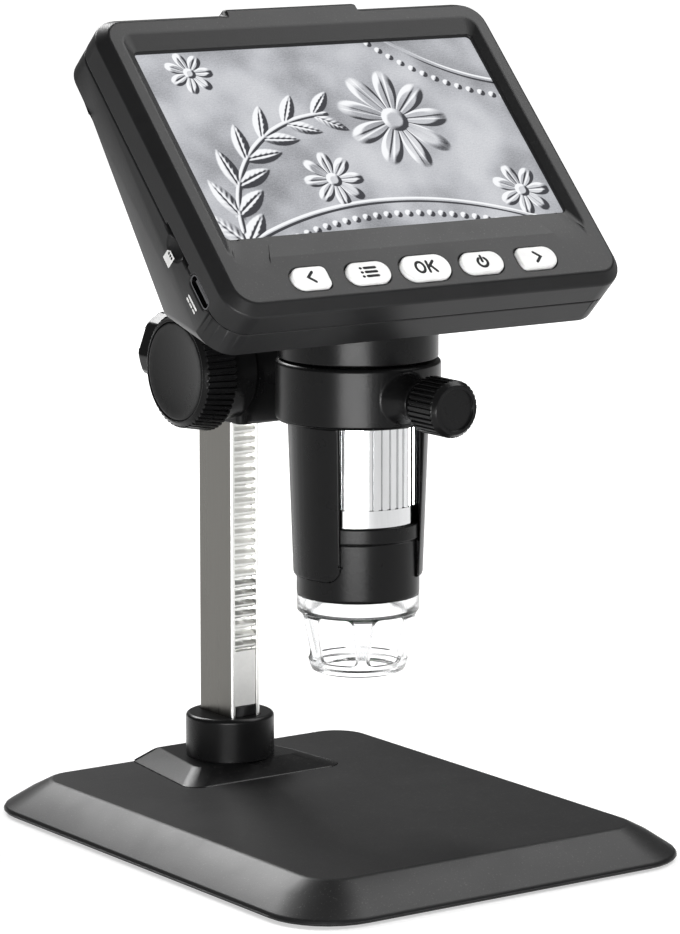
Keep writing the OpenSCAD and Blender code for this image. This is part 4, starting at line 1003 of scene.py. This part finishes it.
def soften_all(radius, *nodes, **settings):
    """Rounds the edges of each node and gives it the material of its slot."""
    for node in nodes:
        soften(node, radius, Finishes.of(slot_of(node)), **settings)


class MICROSCOPE_OT_base(bpy.types.Operator):
    """Round and finish the base, its cover, feet, ballast and screws"""
    bl_idname = "microscope.base"
    bl_label = "Base"

    def execute(self, context):
        paint("base_cover", "steel_ballast", "rubber_feet", "base_screws")
        soften_all(shapes().case_edge, "base_plate", sharp_angle=CREASE)
        soften_all(shapes().part_edge, "plinth", sharp_angle=CREASE, seated=True)
        return {"FINISHED"}


class MICROSCOPE_OT_column(bpy.types.Operator):
    """Round and finish the column, the parts at its ends, the rack and their fasteners"""
    bl_idname = "microscope.column"
    bl_label = "Column and rack"

    def execute(self, context):
        paint("column_bolt", "cross_pin", "column_collar")
        soften_all(shapes().part_edge, "column_cap", "column_foot")
        soften_all(shapes().fine_edge, "column", "gear_rack")
        return {"FINISHED"}


class MICROSCOPE_OT_carriage(bpy.types.Operator):
    """Round and finish the carriage, its cap and the parts that it holds"""
    bl_idname = "microscope.carriage"
    bl_label = "Carriage"

    def execute(self, context):
        paint("slide_liners", "shaft_bushes", "screw_insert", "friction_pad", "focus_shaft", "pinion")
        soften_all(shapes().part_edge, "carriage", "end_cap")
        return {"FINISHED"}


class MICROSCOPE_OT_knobs(bpy.types.Operator):
    """Round and finish the focus knob, the tension knob, the lock knob and their screws"""
    bl_idname = "microscope.knobs"
    bl_label = "Knobs"

    def execute(self, context):
        paint("knob_screw", "tension_screw", "lock_screw")
        soften_all(shapes().part_edge, "tension_knob", "knob_cap")
        soften_all(shapes().fine_edge, "focus_knob", "lock_knob", steps=2)
        return {"FINISHED"}


class MICROSCOPE_OT_barrel(bpy.types.Operator):
    """Round and finish the camera barrel, its lens, wheel and shroud"""
    bl_idname = "microscope.barrel"
    bl_label = "Barrel"

    def execute(self, context):
        paint("led_board", "leds", "lens_cell", "objective_lens", "lens_retainer", "sensor_board",
              "image_sensor", "ribbon_cable", "barrel_core", "neck_screws", "clear_shroud", "focus_wheel")
        soften_all(shapes().part_edge, "grip_left", "grip_right", "nose_ring", "neck")
        return {"FINISHED"}


class MICROSCOPE_OT_head(bpy.types.Operator):
    """Round and finish the head's shells, its keys, ports, boards and screen"""
    bl_idname = "microscope.head"
    bl_label = "Head"

    def execute(self, context):
        paint("shell_screws", "inner_screws", "screen_panel", "screen_bracket", "main_board", "battery",
              "card_socket", "key_board")
        paint("usb_port", finish="port_shell")
        soften_all(shapes().part_edge, "rear_shell", sharp_angle=SHELL_EDGE)
        soften_all(shapes().part_edge, "front_bezel", sharp_angle=CREASE)
        soften_all(shapes().key_edge, "key_left", "key_menu", "key_ok", "key_power", "key_right")
        return {"FINISHED"}


class MICROSCOPE_OT_symbols(bpy.types.Operator):
    """Print the symbols on the keys and beside the ports"""
    bl_idname = "microscope.symbols"
    bl_label = "Symbols"

    def execute(self, context):
        add_key_symbols()
        add_port_symbols()
        return {"FINISHED"}


class MICROSCOPE_OT_stage(bpy.types.Operator):
    """Set up the pale floor, the plain surroundings, the soft lamps and the camera"""
    bl_idname = "microscope.stage"
    bl_label = "Studio"

    def execute(self, context):
        make_floor()
        make_surroundings()
        for lamp in LAMPS:
            make_lamp(*lamp)
        make_camera()
        context.scene.view_settings.view_transform = "Standard"
        return {"FINISHED"}


def seen_directly(graph):
    """1 for what is seen directly, in a mirror or through glass, and 0 for the light that falls on things."""
    path = graph.add("ShaderNodeLightPath").outputs
    return graph.math("MAXIMUM", path["Is Camera Ray"],
                      graph.math("MAXIMUM", path["Is Glossy Ray"], path["Is Transmission Ray"]))


FLOOR_SIZE = 8.0                                # metres
FLOOR_GREYS = ((0.60, 0.60, 0.60, 1), (0.63, 0.63, 0.63, 1))
FLOOR_GLOW = (0.2, 1.2, 0.5, 1.0)               # nearest and furthest place in metres, and the glow there
SURROUNDINGS_GLOW = 0.17


def make_floor():
    """Pale floor that turns white away from the object. Its glow is only seen, and lights nothing."""
    form = bmesh.new()
    bmesh.ops.create_grid(form, x_segments=8, y_segments=8, size=FLOOR_SIZE / 2)
    floor = add_object("floor", mesh_from("floor", form))
    material, graph, shader = new_material("Pale floor")
    place = graph.place()
    away = graph.add("ShaderNodeVectorMath", {0: place}, operation="LENGTH").outputs["Value"]
    glow = graph.times(seen_directly(graph), graph.spread(away, *FLOOR_GLOW))
    graph.fill(shader, {"Base Color": graph.mix(graph.noise(place, 30.0), *FLOOR_GREYS), "Roughness": 0.9,
                        "Specular IOR Level": 0.0, "Emission Color": (1, 1, 1, 1), "Emission Strength": glow})
    floor.data.materials.append(material)


def make_surroundings():
    """Dim light from all round."""
    world = bpy.data.worlds.new("Studio")
    world.use_nodes = True
    bpy.context.scene.world = world
    background = world.node_tree.nodes["Background"]
    background.inputs["Color"].default_value = (1, 1, 1, 1)
    background.inputs["Strength"].default_value = SURROUNDINGS_GLOW


AIM_HEIGHT = 0.08               # the lamps aim at this height on the object's axis, in metres
# Name, direction from there as azimuth and elevation in degrees, distance, width and height in metres, and
# brightness in watts per square metre and steradian. Azimuth 0 is in front and grows towards the right.
LAMPS = [
    ("front_box", -40, -4.9, 0.5, 0.34, 0.07, 31.0),
    ("back_box", 176, 37, 1.0, 0.5, 0.28, 20.0),
    ("right_box", 84, 56, 1.0, 0.75, 0.5, 5.7),
    ("high_box", 50, 40, 1.0, 0.36, 0.3, 4.5),
]


def make_lamp(name, azimuth, elevation, distance, width, height, brightness):
    """Rectangular lamp that aims at the object."""
    turn, rise = math.radians(azimuth), math.radians(elevation)
    towards = Vector((math.sin(turn) * math.cos(rise), -math.cos(turn) * math.cos(rise), math.sin(rise)))
    light = bpy.data.lights.new(name, "AREA")
    light.shape = "RECTANGLE"
    light.size = width
    light.size_y = height
    light.energy = brightness * math.pi * width * height
    lamp = add_object(name, light)
    lamp.location = Vector((0, 0, AIM_HEIGHT)) + towards * distance
    lamp.rotation_euler = towards.to_track_quat("Z", "Y").to_euler()


CAMERA_SENSOR, CAMERA_LENS = 36.0, 171.06       # millimetres
CAMERA_PLACE = (-0.5870, -0.8379, 0.2661)       # metres
CAMERA_DOWN, CAMERA_TURN = 9.86, -35.1          # degrees


def make_camera():
    """Camera at the object's left front, a little above it."""
    data = bpy.data.cameras.new("camera")
    data.sensor_width = CAMERA_SENSOR
    data.lens = CAMERA_LENS
    camera = add_object("camera", data)
    camera.location = CAMERA_PLACE
    camera.rotation_euler = (math.radians(90 - CAMERA_DOWN), 0, math.radians(CAMERA_TURN))
    bpy.context.scene.camera = camera


class MICROSCOPE_PT_panel(bpy.types.Panel):
    """Sidebar panel with the microscope's pieces and settings"""
    bl_idname = "MICROSCOPE_PT_panel"
    bl_label = "Digital microscope"
    bl_space_type = "VIEW_3D"
    bl_region_type = "UI"
    bl_category = "Microscope"

    def draw(self, context):
        for operator in OPERATORS:
            self.layout.operator(operator.bl_idname)
        for settings in (context.scene.microscope_shapes, context.scene.microscope_colours):
            for name in settings.__annotations__:
                self.layout.prop(settings, name)


OPERATORS = (MICROSCOPE_OT_base, MICROSCOPE_OT_column, MICROSCOPE_OT_carriage, MICROSCOPE_OT_knobs,
             MICROSCOPE_OT_barrel, MICROSCOPE_OT_head, MICROSCOPE_OT_symbols, MICROSCOPE_OT_stage)
CLASSES = (MicroscopeShapes, MicroscopeColours, *OPERATORS, MICROSCOPE_PT_panel)


def register():
    for kind in CLASSES:
        bpy.utils.register_class(kind)
    bpy.types.Scene.microscope_shapes = PointerProperty(type=MicroscopeShapes)
    bpy.types.Scene.microscope_colours = PointerProperty(type=MicroscopeColours)


def unregister():
    del bpy.types.Scene.microscope_colours
    del bpy.types.Scene.microscope_shapes
    for kind in reversed(CLASSES):
        bpy.utils.unregister_class(kind)


def main():
    register()
    bpy.ops.microscope.base()
    bpy.ops.microscope.column()
    bpy.ops.microscope.carriage()
    bpy.ops.microscope.knobs()
    bpy.ops.microscope.barrel()
    bpy.ops.microscope.head()
    bpy.ops.microscope.symbols()
    bpy.ops.microscope.stage()


if __name__ == "__main__":
    main()
